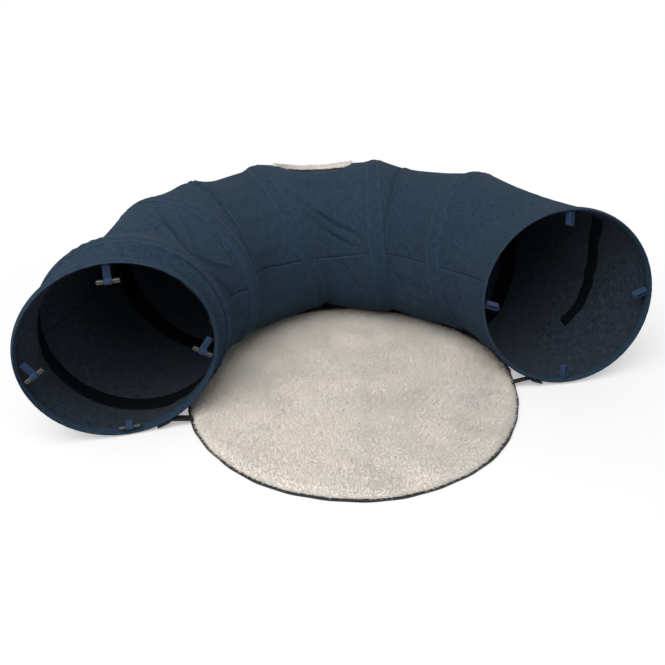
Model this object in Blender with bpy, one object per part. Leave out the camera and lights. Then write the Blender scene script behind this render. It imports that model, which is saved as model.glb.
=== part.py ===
"""Curved cat tunnel on sprung hoops, with a peephole in its roof and a round plush mat in its bend.

The tunnel is a part of a ring that lies flat on the floor. Seven steel hoops stand across the ring, each in a
sewn channel, and cloth panels run from channel to channel. The ring's centre is the origin, +Z is up, +Y is the
closed back of the bend and the two mouths open towards -Y. All lengths are in metres, all angles in degrees.
"""

import math

import bmesh
import bpy
from mathutils import Vector

# The ring and its hoops
ring_radius = 0.300
tunnel_radius = 0.127
hoop_angles = (-106.0, -95.0, -63.0, -23.0, 8.0, 40.0, 78.0)
hoop_leans = (0.0, 2.0, -2.0, -18.0, -7.0, -14.0, -14.0)
hoop_turns = (0.0, 0.0, 4.0, 0.0, -5.0, -5.0, 2.0)
hoop_out_shares = (0.06, 0.0, -0.04, -0.01, -0.06, -0.04, 0.0)
hoop_flat_shares = (0.0, 0.0, 0.035, 0.02, 0.045, 0.03, 0.0)
ring_stations = 32

# Cloth, channels and wire
cloth_thickness = 0.0012
clearance = 0.0003
channel_half_width = 0.012
hem_half_width = 0.007
channel_crown = 0.0028
channel_slot_half = 0.0003
channel_cavity_share = 0.6
wire_radius = 0.001
wire_end_gap = 0.001
wire_sides = 6
ferrule_wall = 0.0004
ferrule_length = 0.012
ferrule_sides = 8

# The panels' seams, sag and folds
seam_angle = 172.0
cloth_sag = 0.007
fold_depth = 0.005
bottom_sag_share = 0.2
fold_count = 3.0
fold_twist = 70.0
bunched_fold_depth = 0.007
panel_rows = 5
panel_columns = 16

# The peephole and its plush facing
peephole_span = 3
peephole_angle = 75.0
peephole_half_length = 0.062
peephole_half_width = 0.050
near_rim_slack_share = 0.2
far_rim_slack_share = 0.15
facing_width = 0.018
facing_thickness = 0.006
facing_gap = 0.0009
peephole_sides = 40
# Each point of the facing's section: its share of the width from the hole's edge, its share of the thickness
facing_section_shares = ((0.0, 0.3), (0.15, 0.0), (0.85, 0.0), (1.0, 0.3), (0.8, 1.0), (0.2, 1.0))

# The mat, which reaches to within a gap of the nearest hoop at the height of its rim
mat_gap = 0.0027
mat_shift_x = -0.008
mat_shift_y = 0.006
mat_base_lip = 0.002
mat_base_thickness = 0.0012
mat_height = 0.0155
plush_thickness = 0.0055
mat_rim_height = 0.0075
mat_wave = 0.0008
mat_waves = 7
mat_sides = 40
# Each point of the mat's crown: its share of the radius and its share of the full height
crown_shares = ((0.0, 1.0), (0.5, 1.0), (0.8, 0.93), (0.93, 0.78))
crown_edge_share = 0.985
rim_foot_share = 0.99

# The hook-and-loop tabs on the mat's edge and their patches on three hoops
tab_hoops = (0, 3, 6)
tab_names = ("left", "back", "right")
tab_half_width = 0.007
tab_thickness = 0.001
tab_height = 0.005
tab_edge_gap = 0.0005
patch_start_angle = 244.0
patch_end_angle = 254.0
patch_half_width = 0.0065
patch_steps = 3

# The toggles of the left mouth and the loops of the right one
place_names = ("top", "outer", "bottom", "inner")
place_angles = (90.0, 0.0, 270.0, 180.0)
strap_half_width = 0.0048
strap_thickness = 0.0012
strap_length = 0.017
side_droop = 55.0
bar_half_length = 0.0145
bar_radius = 0.0032
bar_waist_radius = 0.0026
bar_waist_half = 0.0062
bar_sides = 10
# Each ring of half a bar, from its end to its waist: its share of the half length, its share of the radius
bar_end_shares = ((1.0, 0.55), (0.93, 1.0))
waist_floor_share = 0.9
strap_turn = 290.0
strap_turn_steps = 8
loop_length = 0.016
loop_half_gap = 0.0047
loop_droop = 20.0
loop_turn_steps = 6

# Edges sharper than this are shown sharp
smooth_angle = 40.0

# Radii that follow from the sizes above, all measured from a hoop's centre
panel_radius = tunnel_radius - channel_crown
ferrule_radius = wire_radius + clearance + ferrule_wall
cavity_top = tunnel_radius - cloth_thickness
wire_ring_radius = cavity_top - clearance - ferrule_radius
cavity_bottom = wire_ring_radius - ferrule_radius - clearance
tape_radius = cavity_bottom - cloth_thickness

navy = (0.025, 0.045, 0.078, 1.0)
dark_navy = (0.012, 0.018, 0.030, 1.0)
webbing_blue = (0.030, 0.075, 0.160, 1.0)
plush_grey = (0.62, 0.59, 0.55, 1.0)
black = (0.012, 0.012, 0.013, 1.0)
steel = (0.55, 0.55, 0.56, 1.0)
bar_grey = (0.10, 0.10, 0.105, 1.0)
wadding_white = (0.80, 0.80, 0.78, 1.0)


class Hoop:
    """One hoop's place on the ring: its centre, its outward and upward directions and its axis.

    A hoop leans along the tunnel, turns about the upright and sinks into a slightly flat oval.
    """

    def __init__(self, index):
        place = math.radians(hoop_angles[index])
        angle = place + math.radians(hoop_turns[index])
        lean = math.radians(hoop_leans[index])
        along = Vector((math.cos(angle), -math.sin(angle), 0.0))
        upright = Vector((0.0, 0.0, 1.0))
        self.half_width = hem_half_width if index in (0, len(hoop_angles) - 1) else channel_half_width
        self.radial = Vector((math.sin(angle), math.cos(angle), 0.0))
        self.up = upright * math.cos(lean) + along * math.sin(lean)
        self.axis = along * math.cos(lean) - upright * math.sin(lean)
        self.wide = 1.0 + hoop_flat_shares[index]
        self.high = 1.0 - hoop_flat_shares[index]
        crown_height = tunnel_radius * self.high * math.cos(lean)
        edge_height = panel_radius * self.high * math.cos(lean) + self.half_width * abs(math.sin(lean))
        out = ring_radius * (1.0 + hoop_out_shares[index])
        self.centre = Vector((math.sin(place), math.cos(place), 0.0)) * out
        self.centre.z = max(crown_height, edge_height)

    def direction(self, angle):
        """The way out from the hoop's centre, 1 long on a round hoop: 0 is away from the ring's centre, 90 up."""
        turn = math.radians(angle)
        return self.radial * (self.wide * math.cos(turn)) + self.up * (self.high * math.sin(turn))

    def point(self, angle, radius, offset):
        """A point at an angle and a radius round the hoop, moved by an offset along the hoop's axis."""
        return self.centre + self.direction(angle) * radius + self.axis * offset


hoops = [Hoop(index) for index in range(len(hoop_angles))]


def wall_distance(hoop, height):
    """How far a hoop's channel stands from the mat's middle at a height, on the inner side of the bend."""
    rise = (hoop.centre.z - height) / (tunnel_radius * hoop.high * hoop.up.z)
    wall = hoop.point(180.0 + math.degrees(math.asin(min(1.0, rise))), tunnel_radius, 0.0)
    return math.hypot(wall.x - mat_shift_x, wall.y - mat_shift_y)


mat_radius = min(wall_distance(hoop, mat_rim_height) for hoop in hoops) - mat_gap


def material(name, colour, roughness, metallic=0.0):
    """A plain Principled material, made once under its name."""
    found = bpy.data.materials.get(name)
    if found:
        return found
    made = bpy.data.materials.new(name)
    made.use_nodes = True
    shader = made.node_tree.nodes["Principled BSDF"]
    shader.inputs["Base Color"].default_value = colour
    shader.inputs["Roughness"].default_value = roughness
    shader.inputs["Metallic"].default_value = metallic
    made.diffuse_color = colour
    return made


def add_solid(name, points, faces, finish, origin=None, smooth=True):
    """Make a named object from points and faces, with its faces turned outwards and its origin where asked."""
    origin = origin or Vector((0.0, 0.0, 0.0))
    mesh = bpy.data.meshes.new(name)
    mesh.from_pydata([point - origin for point in points], [], faces)
    shape = bmesh.new()
    shape.from_mesh(mesh)
    bmesh.ops.recalc_face_normals(shape, faces=shape.faces)
    shape.to_mesh(mesh)
    shape.free()
    mesh.materials.append(finish)
    if smooth:
        mesh.shade_smooth()
        mesh.set_sharp_from_angle(angle=math.radians(smooth_angle))
    solid = bpy.data.objects.new(name, mesh)
    solid.location = origin
    bpy.context.scene.collection.objects.link(solid)
    return solid


def tube_faces(rings, sides, closed):
    """Faces of a tube of rings with equal sides: closed into a ring, or open with a cap at each end."""
    faces = []
    for ring in range(rings if closed else rings - 1):
        following = (ring + 1) % rings
        for side in range(sides):
            beside = (side + 1) % sides
            faces.append((ring * sides + side, following * sides + side,
                          following * sides + beside, ring * sides + beside))
    if not closed:
        faces.append(tuple(range(sides)))
        faces.append(tuple((rings - 1) * sides + side for side in range(sides)))
    return faces


def station_angle(station):
    """The angle of one of the even stations round a hoop."""
    return 360.0 * station / ring_stations


def channel_profile(half_width):
    """The section of a hoop channel: an arched outer cloth and an inner tape that meets at a fine slot."""
    cavity_half = half_width * channel_cavity_share
    edge_inner = panel_radius - cloth_thickness
    cavity_side = (panel_radius + cavity_bottom) / 2.0 + cloth_thickness / 2.0
    shoulder = tunnel_radius - channel_crown / 4.0
    right = [(0.0, tunnel_radius), (half_width / 2.0, shoulder), (half_width, panel_radius),
             (half_width, edge_inner), (channel_slot_half, tape_radius), (channel_slot_half, cavity_bottom),
             (cavity_half, cavity_side), (0.0, cavity_top)]
    left = [(-offset, radius) for offset, radius in reversed(right[1:-1])]
    return right + left


def add_channel(index):
    """The sewn sleeve that holds one hoop, closed round the tunnel."""
    hoop = hoops[index]
    profile = channel_profile(hoop.half_width)
    points = [hoop.point(station_angle(station), radius, offset)
              for station in range(ring_stations) for offset, radius in profile]
    kind = "mouth_hem" if index in (0, len(hoops) - 1) else "hoop_channel"
    faces = tube_faces(ring_stations, len(profile), True)
    return add_solid(f"{kind}_{index + 1}", points, faces, material("channel_cloth", navy, 0.85))


def ferrule_middle(hoop):
    """The middle of the wire's lowest straight facet, where its two ends meet, and the facet's direction."""
    lowest = hoop.point(station_angle(ring_stations * 3 // 4), wire_ring_radius, 0.0)
    following = hoop.point(station_angle(ring_stations * 3 // 4 + 1), wire_ring_radius, 0.0)
    return (lowest + following) / 2.0, (following - lowest).normalized()


def add_wire(index):
    """The sprung steel hoop: one wire bent round until its ends nearly meet inside the ferrule."""
    hoop = hoops[index]
    middle, tangent = ferrule_middle(hoop)
    first = ring_stations * 3 // 4 + 1
    path = [middle + tangent * (wire_end_gap / 2.0)]
    path += [hoop.point(station_angle(first + step), wire_ring_radius, 0.0) for step in range(ring_stations)]
    path.append(middle - tangent * (wire_end_gap / 2.0))
    points = []
    for centre in path:
        outward = (centre - hoop.centre).normalized()
        for side in range(wire_sides):
            turn = 2.0 * math.pi * side / wire_sides
            spoke = outward * math.cos(turn) + hoop.axis * math.sin(turn)
            points.append(centre + spoke * wire_radius)
    faces = tube_faces(len(path), wire_sides, False)
    return add_solid(f"hoop_wire_{index + 1}", points, faces, material("spring_steel", steel, 0.35, 1.0))


def add_ferrule(index):
    """The crimped sleeve over the wire's two ends."""
    hoop = hoops[index]
    middle, tangent = ferrule_middle(hoop)
    outward = (middle - hoop.centre).normalized()
    section = [(ferrule_radius, -1.0), (ferrule_radius, 1.0), (wire_radius + clearance, 1.0),
               (wire_radius + clearance, -1.0)]
    points = []
    for side in range(ferrule_sides):
        turn = 2.0 * math.pi * side / ferrule_sides
        spoke = outward * math.cos(turn) + hoop.axis * math.sin(turn)
        for radius, end in section:
            points.append(middle + spoke * radius + tangent * (end * ferrule_length / 2.0))
    faces = tube_faces(ferrule_sides, len(section), True)
    return add_solid(f"hoop_ferrule_{index + 1}", points, faces, material("spring_steel", steel, 0.35, 1.0))


def cloth_dip(span, share, angle):
    """How far the cloth hangs inside the straight line between two hoops, at a share of the way along."""
    turn = math.radians(angle)
    window = math.sin(math.pi * share)
    floor_share = max(0.0, -math.sin(turn))
    slack = 1.0 - (1.0 - bottom_sag_share) * floor_share
    depth = bunched_fold_depth if span in (0, 1) else fold_depth
    fold = 0.5 + 0.5 * math.sin(fold_count * turn + math.radians(fold_twist) * (2.0 * share + span))
    dip = window * slack * (cloth_sag + depth * fold)
    if span == peephole_span:
        half_angle = math.degrees(peephole_half_width / panel_radius)
        from_near_rim = (angle - peephole_angle - half_angle) / half_angle
        from_far_rim = (angle - peephole_angle + half_angle) / half_angle
        dip *= 1.0 - (1.0 - near_rim_slack_share) * math.exp(-from_near_rim * from_near_rim)
        dip *= 1.0 - (1.0 - far_rim_slack_share) * math.exp(-from_far_rim * from_far_rim)
    return dip


def span_point(span, share, angle, depth):
    """A point of the cloth between hoop number span and the next, a depth below the cloth's outer face.

    The outer side of the bend runs straight from hoop to hoop and the inner side follows the ring.
    """
    start_hoop, end_hoop = hoops[span], hoops[span + 1]
    radius = panel_radius - depth - cloth_dip(span, share, angle)
    start = start_hoop.point(angle, radius, start_hoop.half_width + clearance)
    end = end_hoop.point(angle, radius, -end_hoop.half_width - clearance)
    straight = start.lerp(end, share)
    start_turn, end_turn = math.atan2(start.x, start.y), math.atan2(end.x, end.y)
    turn = start_turn + (end_turn - start_turn) * share
    reach = math.hypot(start.x, start.y) * (1.0 - share) + math.hypot(end.x, end.y) * share
    curved = Vector((reach * math.sin(turn), reach * math.cos(turn), straight.z))
    return curved.lerp(straight, (1.0 + math.cos(math.radians(angle))) / 2.0)


def panel_edges(upper):
    """The two seam angles that a panel runs between, drawn in by half of the clearance at each seam."""
    draw_in = math.degrees(clearance / 2.0 / (tape_radius - cloth_sag))
    start = seam_angle - 180.0 if upper else seam_angle
    return start + draw_in, start + 180.0 - draw_in


def sheet_point(span, share, angle, depth):
    """A point on the upper panel's flat facets, which lie a little inside the curved cloth."""
    start, end = panel_edges(True)
    row = share * panel_rows
    column = (angle - start) / (end - start) * panel_columns
    low_row, low_column = math.floor(row), math.floor(column)
    corners = [[span_point(span, (low_row + up) / panel_rows,
                           start + (end - start) * (low_column + right) / panel_columns, depth)
                for right in (0, 1)] for up in (0, 1)]
    near = corners[0][0].lerp(corners[0][1], column - low_column)
    far = corners[1][0].lerp(corners[1][1], column - low_column)
    return near.lerp(far, row - low_row)


def add_panel(span, upper):
    """One cloth panel of a span, from seam to seam, with its sag and its main folds."""
    start, end = panel_edges(upper)
    points = []
    for depth in (0.0, cloth_thickness):
        for row in range(panel_rows + 1):
            for column in range(panel_columns + 1):
                angle = start + (end - start) * column / panel_columns
                points.append(span_point(span, row / panel_rows, angle, depth))
    across = panel_columns + 1
    layer = across * (panel_rows + 1)
    faces = []
    for row in range(panel_rows):
        for column in range(panel_columns):
            corner = row * across + column
            sheet = (corner, corner + 1, corner + across + 1, corner + across)
            faces.append(sheet)
            faces.append(tuple(layer + point for point in reversed(sheet)))
    rim = [column for column in range(across)]
    rim += [row * across + panel_columns for row in range(1, panel_rows + 1)]
    rim += [panel_rows * across + column for column in range(panel_columns - 1, -1, -1)]
    rim += [row * across for row in range(panel_rows - 1, 0, -1)]
    for place, point in enumerate(rim):
        following = rim[(place + 1) % len(rim)]
        faces.append((point, following, layer + following, layer + point))
    name = "upper_panel" if upper else "lower_panel"
    return add_solid(f"{name}_{span + 1}", points, faces, material("tunnel_cloth", navy, 0.9))


def peephole_ring(widening, depth):
    """Points on an oval round the peephole's centre, wider than the hole by a width, at a depth in the roof."""
    start = span_point(peephole_span, 0.0, peephole_angle, 0.0)
    end = span_point(peephole_span, 1.0, peephole_angle, 0.0)
    half_share = (peephole_half_length + widening) / (end - start).length
    half_angle = math.degrees((peephole_half_width + widening) / panel_radius)
    points = []
    for side in range(peephole_sides):
        turn = 2.0 * math.pi * side / peephole_sides
        share = 0.5 + half_share * math.cos(turn)
        points.append(sheet_point(peephole_span, share, peephole_angle + half_angle * math.sin(turn), depth))
    return points


def cut_peephole(panel):
    """Cut the oval peephole out of the roof panel, whose two curved faces the exact solver loses."""
    points = peephole_ring(0.0, -facing_width) + peephole_ring(0.0, facing_width)
    faces = tube_faces(2, peephole_sides, False)
    cutter = add_solid("peephole_cutter", points, faces, material("tunnel_cloth", navy, 0.9), smooth=False)
    cutter.hide_render = True
    cutter.display_type = "WIRE"
    cut = panel.modifiers.new("peephole", "BOOLEAN")
    cut.operation = "DIFFERENCE"
    cut.solver = "MANIFOLD"
    cut.object = cutter


def add_facing():
    """The plush facing on the inside of the roof round the peephole, rounded at its two edges."""
    top = cloth_thickness + facing_gap
    ovals = [peephole_ring(facing_width * width_share, top + facing_thickness * depth_share)
             for width_share, depth_share in facing_section_shares]
    points = [oval[side] for side in range(peephole_sides) for oval in ovals]
    faces = tube_faces(peephole_sides, len(ovals), True)
    return add_solid("peephole_facing", points, faces, material("plush", plush_grey, 1.0))


def mat_point(radius, turn, height):
    """A point at a radius and a turn round the mat's own middle, at a height above the floor."""
    return Vector((mat_shift_x + radius * math.sin(turn), mat_shift_y + radius * math.cos(turn), height))


def turned_solid(name, section, finish, wave=0.0):
    """A closed solid turned about the mat's upright axis from a section of radii and heights.

    The section runs from the axis out and back to the axis, and both its ends lie on the axis.
    """
    points = [mat_point(0.0, 0.0, section[0][1])]
    for radius, height in section[1:-1]:
        for side in range(mat_sides):
            turn = 2.0 * math.pi * side / mat_sides
            height_share = max(0.0, height - mat_base_thickness - clearance) / mat_height
            lift = wave * math.sin(mat_waves * turn + radius / mat_radius * math.pi) * height_share
            points.append(mat_point(radius, turn, height + lift))
    points.append(mat_point(0.0, 0.0, section[-1][1]))
    rows = len(section) - 2
    faces = []
    for side in range(mat_sides):
        beside = (side + 1) % mat_sides
        faces.append((0, 1 + side, 1 + beside))
        for row in range(rows - 1):
            start = 1 + row * mat_sides
            faces.append((start + side, start + beside, start + mat_sides + beside, start + mat_sides + side))
        last = 1 + (rows - 1) * mat_sides
        faces.append((last + side, last + beside, len(points) - 1))
    return add_solid(name, points, faces, finish)


def lens_section(radius, drop, floor, rim):
    """The section of a lens under the mat's crown: its edge's radius, its depth below the crown, foot and rim."""
    over = [(radius * share, mat_height * height_share - drop) for share, height_share in crown_shares[1:]]
    top = (0.0, mat_height * crown_shares[0][1] - drop)
    return [(0.0, floor), (radius, floor), (radius, rim)] + over[::-1] + [top]


def add_mat():
    """The mat: a flat base cloth, a lens of wadding and a crowned plush cover that wraps its edge."""
    floor = mat_base_thickness + clearance
    rim = (mat_rim_height + floor) / 2.0
    turned_solid("mat_base", [(0.0, 0.0), (mat_radius + mat_base_lip, 0.0),
                              (mat_radius + mat_base_lip, mat_base_thickness), (0.0, mat_base_thickness)],
                 material("base_cloth", black, 0.9))
    outside = [(share * mat_radius, height_share * mat_height) for share, height_share in crown_shares]
    outside += [(mat_radius * crown_edge_share, mat_rim_height), (mat_radius, rim),
                (mat_radius * rim_foot_share, floor)]
    inner = mat_radius - plush_thickness
    hollow = lens_section(inner, plush_thickness, floor, rim - mat_wave)[1:]
    turned_solid("mat_plush", outside + hollow, material("plush", plush_grey, 1.0), mat_wave)
    wadding = lens_section(inner - clearance, plush_thickness + clearance, floor, rim - mat_wave - clearance)
    turned_solid("mat_wadding", wadding, material("wadding", wadding_white, 1.0), mat_wave)


def add_strip(name, path, side, half_width, thickness, finish, origin=None):
    """A flat strip of webbing or tape along a path, its thickness centred on it, as wide as asked along side."""
    points = []
    for place, centre in enumerate(path):
        before = path[max(place - 1, 0)]
        after = path[min(place + 1, len(path) - 1)]
        across = side.cross(after - before).normalized() * (thickness / 2.0)
        edge = side * half_width
        points += [centre + across + edge, centre + across - edge, centre - across - edge, centre - across + edge]
    return add_solid(name, points, tube_faces(len(path), 4, False), finish, origin)


def add_tab(place):
    """One hook-and-loop pair: the patch sewn on a channel near the floor, and the mat's tab that grips it."""
    hoop = hoops[tab_hoops[place]]
    patch_radius = tunnel_radius + clearance + tab_thickness / 2.0
    tab_radius = patch_radius + tab_thickness + clearance
    angles = [patch_start_angle + (patch_end_angle - patch_start_angle) * step / patch_steps
              for step in range(patch_steps + 1)]
    patch = [hoop.point(angle, patch_radius, 0.0) for angle in angles]
    grip = [hoop.point(angle, tab_radius, 0.0) for angle in angles]
    way = grip[0] - mat_point(0.0, 0.0, 0.0)
    rim = mat_point(mat_radius + tab_edge_gap, math.atan2(way.x, way.y), tab_height)
    name = tab_names[place]
    add_strip(f"tunnel_patch_{name}", patch, hoop.axis, patch_half_width, tab_thickness,
              material("hook_and_loop", black, 0.95))
    add_strip(f"mat_tab_{name}", [rim] + grip, hoop.axis, tab_half_width, tab_thickness,
              material("hook_and_loop", black, 0.95))


def drooped(hoop, angle, droop):
    """The way that a strap hangs from a mouth: inwards at the top, and inwards and down at the sides."""
    turn = math.radians(droop) * abs(math.cos(math.radians(angle)))
    return -hoop.direction(angle) * math.cos(turn) - hoop.up * math.sin(turn)


def root_radius(hoop, angle, hang, offset=0.0):
    """How far out a strap's end starts at an offset along the hem, clear of the flats of its inner tape."""
    edge_rise = panel_radius - cloth_thickness - tape_radius
    seat = tape_radius + edge_rise * offset / hem_half_width
    flat_relief = strap_half_width * math.tan(math.pi / ring_stations)
    inward_share = -hang.dot(hoop.direction(angle))
    corner_relief = strap_half_width * math.sqrt(max(0.0, 1.0 - inward_share * inward_share))
    return seat - clearance - flat_relief - corner_relief


def toggle_frame(place):
    """Where a toggle strap is sewn, the way it hangs, its bar's direction and the side its end turns to."""
    hoop, angle = hoops[0], place_angles[place]
    if place_names[place] == "bottom":
        hang = -hoop.axis
        lying_radius = root_radius(hoop, angle, -hoop.direction(angle)) - strap_thickness / 2.0
        root = hoop.point(angle, lying_radius, strap_length)
        bar = hoop.radial.copy()
        side = hoop.up.copy()
    else:
        hang = drooped(hoop, angle, side_droop)
        root = hoop.point(angle, root_radius(hoop, angle, hang), 0.0)
        side = -hoop.axis
        bar = hang.cross(side).normalized()
    return root, hang, bar, side


def bar_centre(place):
    """The centre of a toggle's bar, held in the turned end of its strap."""
    root, hang, _, side = toggle_frame(place)
    turn_radius = bar_waist_radius + clearance + strap_thickness / 2.0
    return root + hang * (strap_length + turn_radius) + side * turn_radius


def add_toggle(place):
    """One toggle: a webbing strap turned round the waist of a bar."""
    root, hang, bar, side = toggle_frame(place)
    turn_radius = bar_waist_radius + clearance + strap_thickness / 2.0
    centre = bar_centre(place)
    path = [root, root + hang * (strap_length / 2.0)]
    for step in range(strap_turn_steps + 1):
        turn = math.radians(strap_turn) * step / strap_turn_steps
        path.append(centre - side * (turn_radius * math.cos(turn)) + hang * (turn_radius * math.sin(turn)))
    name = place_names[place]
    add_strip(f"toggle_strap_{name}", path, bar, strap_half_width, strap_thickness,
              material("webbing", webbing_blue, 0.8), root)
    half = [(-bar_half_length * share, bar_radius * radius_share) for share, radius_share in bar_end_shares]
    half += [(-bar_waist_half, bar_radius), (-bar_waist_half * waist_floor_share, bar_waist_radius)]
    rings = half + [(-offset, radius) for offset, radius in reversed(half)]
    points = []
    for offset, radius in rings:
        for corner in range(bar_sides):
            turn = 2.0 * math.pi * corner / bar_sides
            spoke = hang * math.cos(turn) + side * math.sin(turn)
            points.append(centre + bar * offset + spoke * radius)
    add_solid(f"toggle_bar_{name}", points, tube_faces(len(rings), bar_sides, False),
              material("toggle_bar", bar_grey, 0.4), centre)


def loop_frame(place):
    """Where an end loop is sewn to the right mouth, the way it stands and the direction of its opening."""
    hoop, angle = hoops[-1], place_angles[place]
    hang = drooped(hoop, angle, loop_droop)
    foot_edge = loop_half_gap - strap_thickness / 2.0
    root = hoop.point(angle, root_radius(hoop, angle, hang, foot_edge), 0.0)
    return root, hang, hang.cross(hoop.axis).normalized()


def add_end_loop(place):
    """One webbing loop that takes a toggle of another tunnel: a strap with both ends sewn to the hem."""
    hoop = hoops[-1]
    root, hang, width = loop_frame(place)
    foot = hoop.axis * loop_half_gap
    path = [root - foot, root - foot + hang * (loop_length / 2.0)]
    turn_centre = root + hang * loop_length
    for step in range(loop_turn_steps + 1):
        turn = math.pi * step / loop_turn_steps
        path.append(turn_centre - foot * math.cos(turn) + hang * (loop_half_gap * math.sin(turn)))
    path += [root + foot + hang * (loop_length / 2.0), root + foot]
    add_strip(f"end_loop_{place_names[place]}", path, width, strap_half_width, strap_thickness,
              material("webbing", webbing_blue, 0.8))


def main():
    """Clear the scene and build every piece of the tunnel and its mat."""
    for old in list(bpy.data.objects):
        bpy.data.objects.remove(old, do_unlink=True)
    for index in range(len(hoops)):
        add_channel(index)
        add_wire(index)
        add_ferrule(index)
    for span in range(len(hoops) - 1):
        upper = add_panel(span, True)
        add_panel(span, False)
        if span == peephole_span:
            cut_peephole(upper)
    add_facing()
    add_mat()
    for place in range(len(tab_hoops)):
        add_tab(place)
    for place in range(len(place_names)):
        add_toggle(place)
        add_end_loop(place)


if __name__ == "__main__":
    main()
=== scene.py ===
"""Finish of a curved cat tunnel: navy cloth on sprung hoops, a plush-edged peephole and a round plush mat.

All lengths are in metres and all angles in degrees. The ring's centre is the origin, +Z is up and +Y is the closed
back of the bend. Round a hoop, angle 0 points away from the ring's centre and 90 points up.
"""
import logging
import math
from collections.abc import Callable
from dataclasses import dataclass, field
from enum import Enum

import bmesh
import bpy
import numpy as np
from bpy.types import Material, Mesh, Node, NodeSocket, Object
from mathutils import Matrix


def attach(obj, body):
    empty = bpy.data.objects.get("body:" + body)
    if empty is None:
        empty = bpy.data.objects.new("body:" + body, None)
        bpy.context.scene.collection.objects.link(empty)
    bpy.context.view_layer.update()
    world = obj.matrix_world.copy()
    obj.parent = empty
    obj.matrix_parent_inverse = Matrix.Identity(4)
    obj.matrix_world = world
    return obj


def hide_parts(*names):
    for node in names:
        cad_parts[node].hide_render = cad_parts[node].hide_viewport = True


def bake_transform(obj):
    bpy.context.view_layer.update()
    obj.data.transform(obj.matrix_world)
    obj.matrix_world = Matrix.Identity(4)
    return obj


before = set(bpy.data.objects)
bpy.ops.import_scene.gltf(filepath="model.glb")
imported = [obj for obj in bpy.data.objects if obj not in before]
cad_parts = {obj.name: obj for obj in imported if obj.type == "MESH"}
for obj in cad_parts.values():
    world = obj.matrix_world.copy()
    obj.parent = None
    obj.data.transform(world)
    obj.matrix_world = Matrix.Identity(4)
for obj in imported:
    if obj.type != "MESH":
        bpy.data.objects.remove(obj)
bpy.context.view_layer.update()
LOG = logging.getLogger("cat_tunnel")
Array = np.ndarray
FLAT_MAP = "flat"
SMALL = 1e-9
WHITE = (1.0, 1.0, 1.0, 1.0)
TURN = 2.0 * math.pi


def unit(ways: Array) -> Array:
    """Ways made 1 long."""
    return ways / np.linalg.norm(ways, axis=-1, keepdims=True)


def hump(values: Array, middle: float, reach: float, power: int = 2) -> Array:
    """A smooth hump, 1 at its middle and near 0 past its reach; a higher power gives it a flatter top."""
    return np.exp(-(((values - middle) / reach) ** power))


def steps_round(count: int, full: float = 360.0) -> Array:
    """Even steps round a full turn, in degrees unless the full turn is given."""
    return full * np.arange(count) / count


def signed_degrees(turns: Array) -> Array:
    """Turns in degrees from -180 to 180."""
    return (np.degrees(turns) + 180.0) % 360.0 - 180.0


def between(grid: Array, row: Array, column: Array) -> Array:
    """Values between the points of a grid.

    Args:
        grid: The grid, which closes on itself across its columns.
        row: How many rows in each place lies, whole or not.
        column: How many columns in.

    Returns:
        The value or vector at each place.
    """
    low_row = np.minimum(row.astype(int), grid.shape[0] - 2)
    low_column = column.astype(int) % grid.shape[1]
    beside = (low_column + 1) % grid.shape[1]
    up, right = row - low_row, column - np.floor(column)
    if grid.ndim > 2:
        up, right = up[..., None], right[..., None]
    near = grid[low_row, low_column] * (1.0 - right) + grid[low_row, beside] * right
    far = grid[low_row + 1, low_column] * (1.0 - right) + grid[low_row + 1, beside] * right
    return near * (1.0 - up) + far * up


class Side(Enum):
    """The two cloth panels of a span."""

    UPPER = "upper"
    LOWER = "lower"


class Place(Enum):
    """The four places round a mouth, each with its angle."""

    TOP = 90.0
    OUTER = 0.0
    BOTTOM = 270.0
    INNER = 180.0

    @property
    def word(self) -> str:
        """The place's name in small letters."""
        return self.name.lower()


@dataclass(frozen=True)
class HoopPlace:
    """Where one hoop stands: its angle on the ring, lean, turn, and shares that move it out and flatten it."""

    angle: float
    lean: float
    turn: float
    out_share: float
    flat_share: float


@dataclass(frozen=True)
class TunnelSizes:
    """The tunnel's sizes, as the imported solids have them."""

    ring_radius: float = 0.300
    tunnel_radius: float = 0.127
    channel_crown: float = 0.0028
    channel_half_width: float = 0.012
    hem_half_width: float = 0.007
    clearance: float = 0.0003
    tape_radius: float = 0.1206
    seam_angle: float = 172.0
    cloth_sag: float = 0.007
    fold_depth: float = 0.005
    bunched_fold_depth: float = 0.007
    bottom_sag_share: float = 0.2
    fold_count: float = 3.0
    fold_twist: float = 70.0
    peephole_span: int = 3
    peephole_angle: float = 75.0
    peephole_half_length: float = 0.062
    peephole_half_width: float = 0.050
    near_rim_slack_share: float = 0.2
    far_rim_slack_share: float = 0.15
    facing_width: float = 0.018
    places: tuple[HoopPlace, ...] = (
        HoopPlace(-106.0, 0.0, 0.0, 0.06, 0.0),
        HoopPlace(-95.0, 2.0, 0.0, 0.0, 0.0),
        HoopPlace(-63.0, -2.0, 4.0, -0.04, 0.035),
        HoopPlace(-23.0, -18.0, 0.0, -0.01, 0.02),
        HoopPlace(8.0, -7.0, -5.0, -0.06, 0.045),
        HoopPlace(40.0, -14.0, -5.0, -0.04, 0.03),
        HoopPlace(78.0, -14.0, 2.0, 0.0, 0.0),
    )

    @property
    def panel_radius(self) -> float:
        """The radius at which a panel meets a channel."""
        return self.tunnel_radius - self.channel_crown

    @property
    def to_angle(self) -> float:
        """The angle of one metre round the cloth."""
        return math.degrees(1.0 / self.panel_radius)


SIZES = TunnelSizes()


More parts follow.
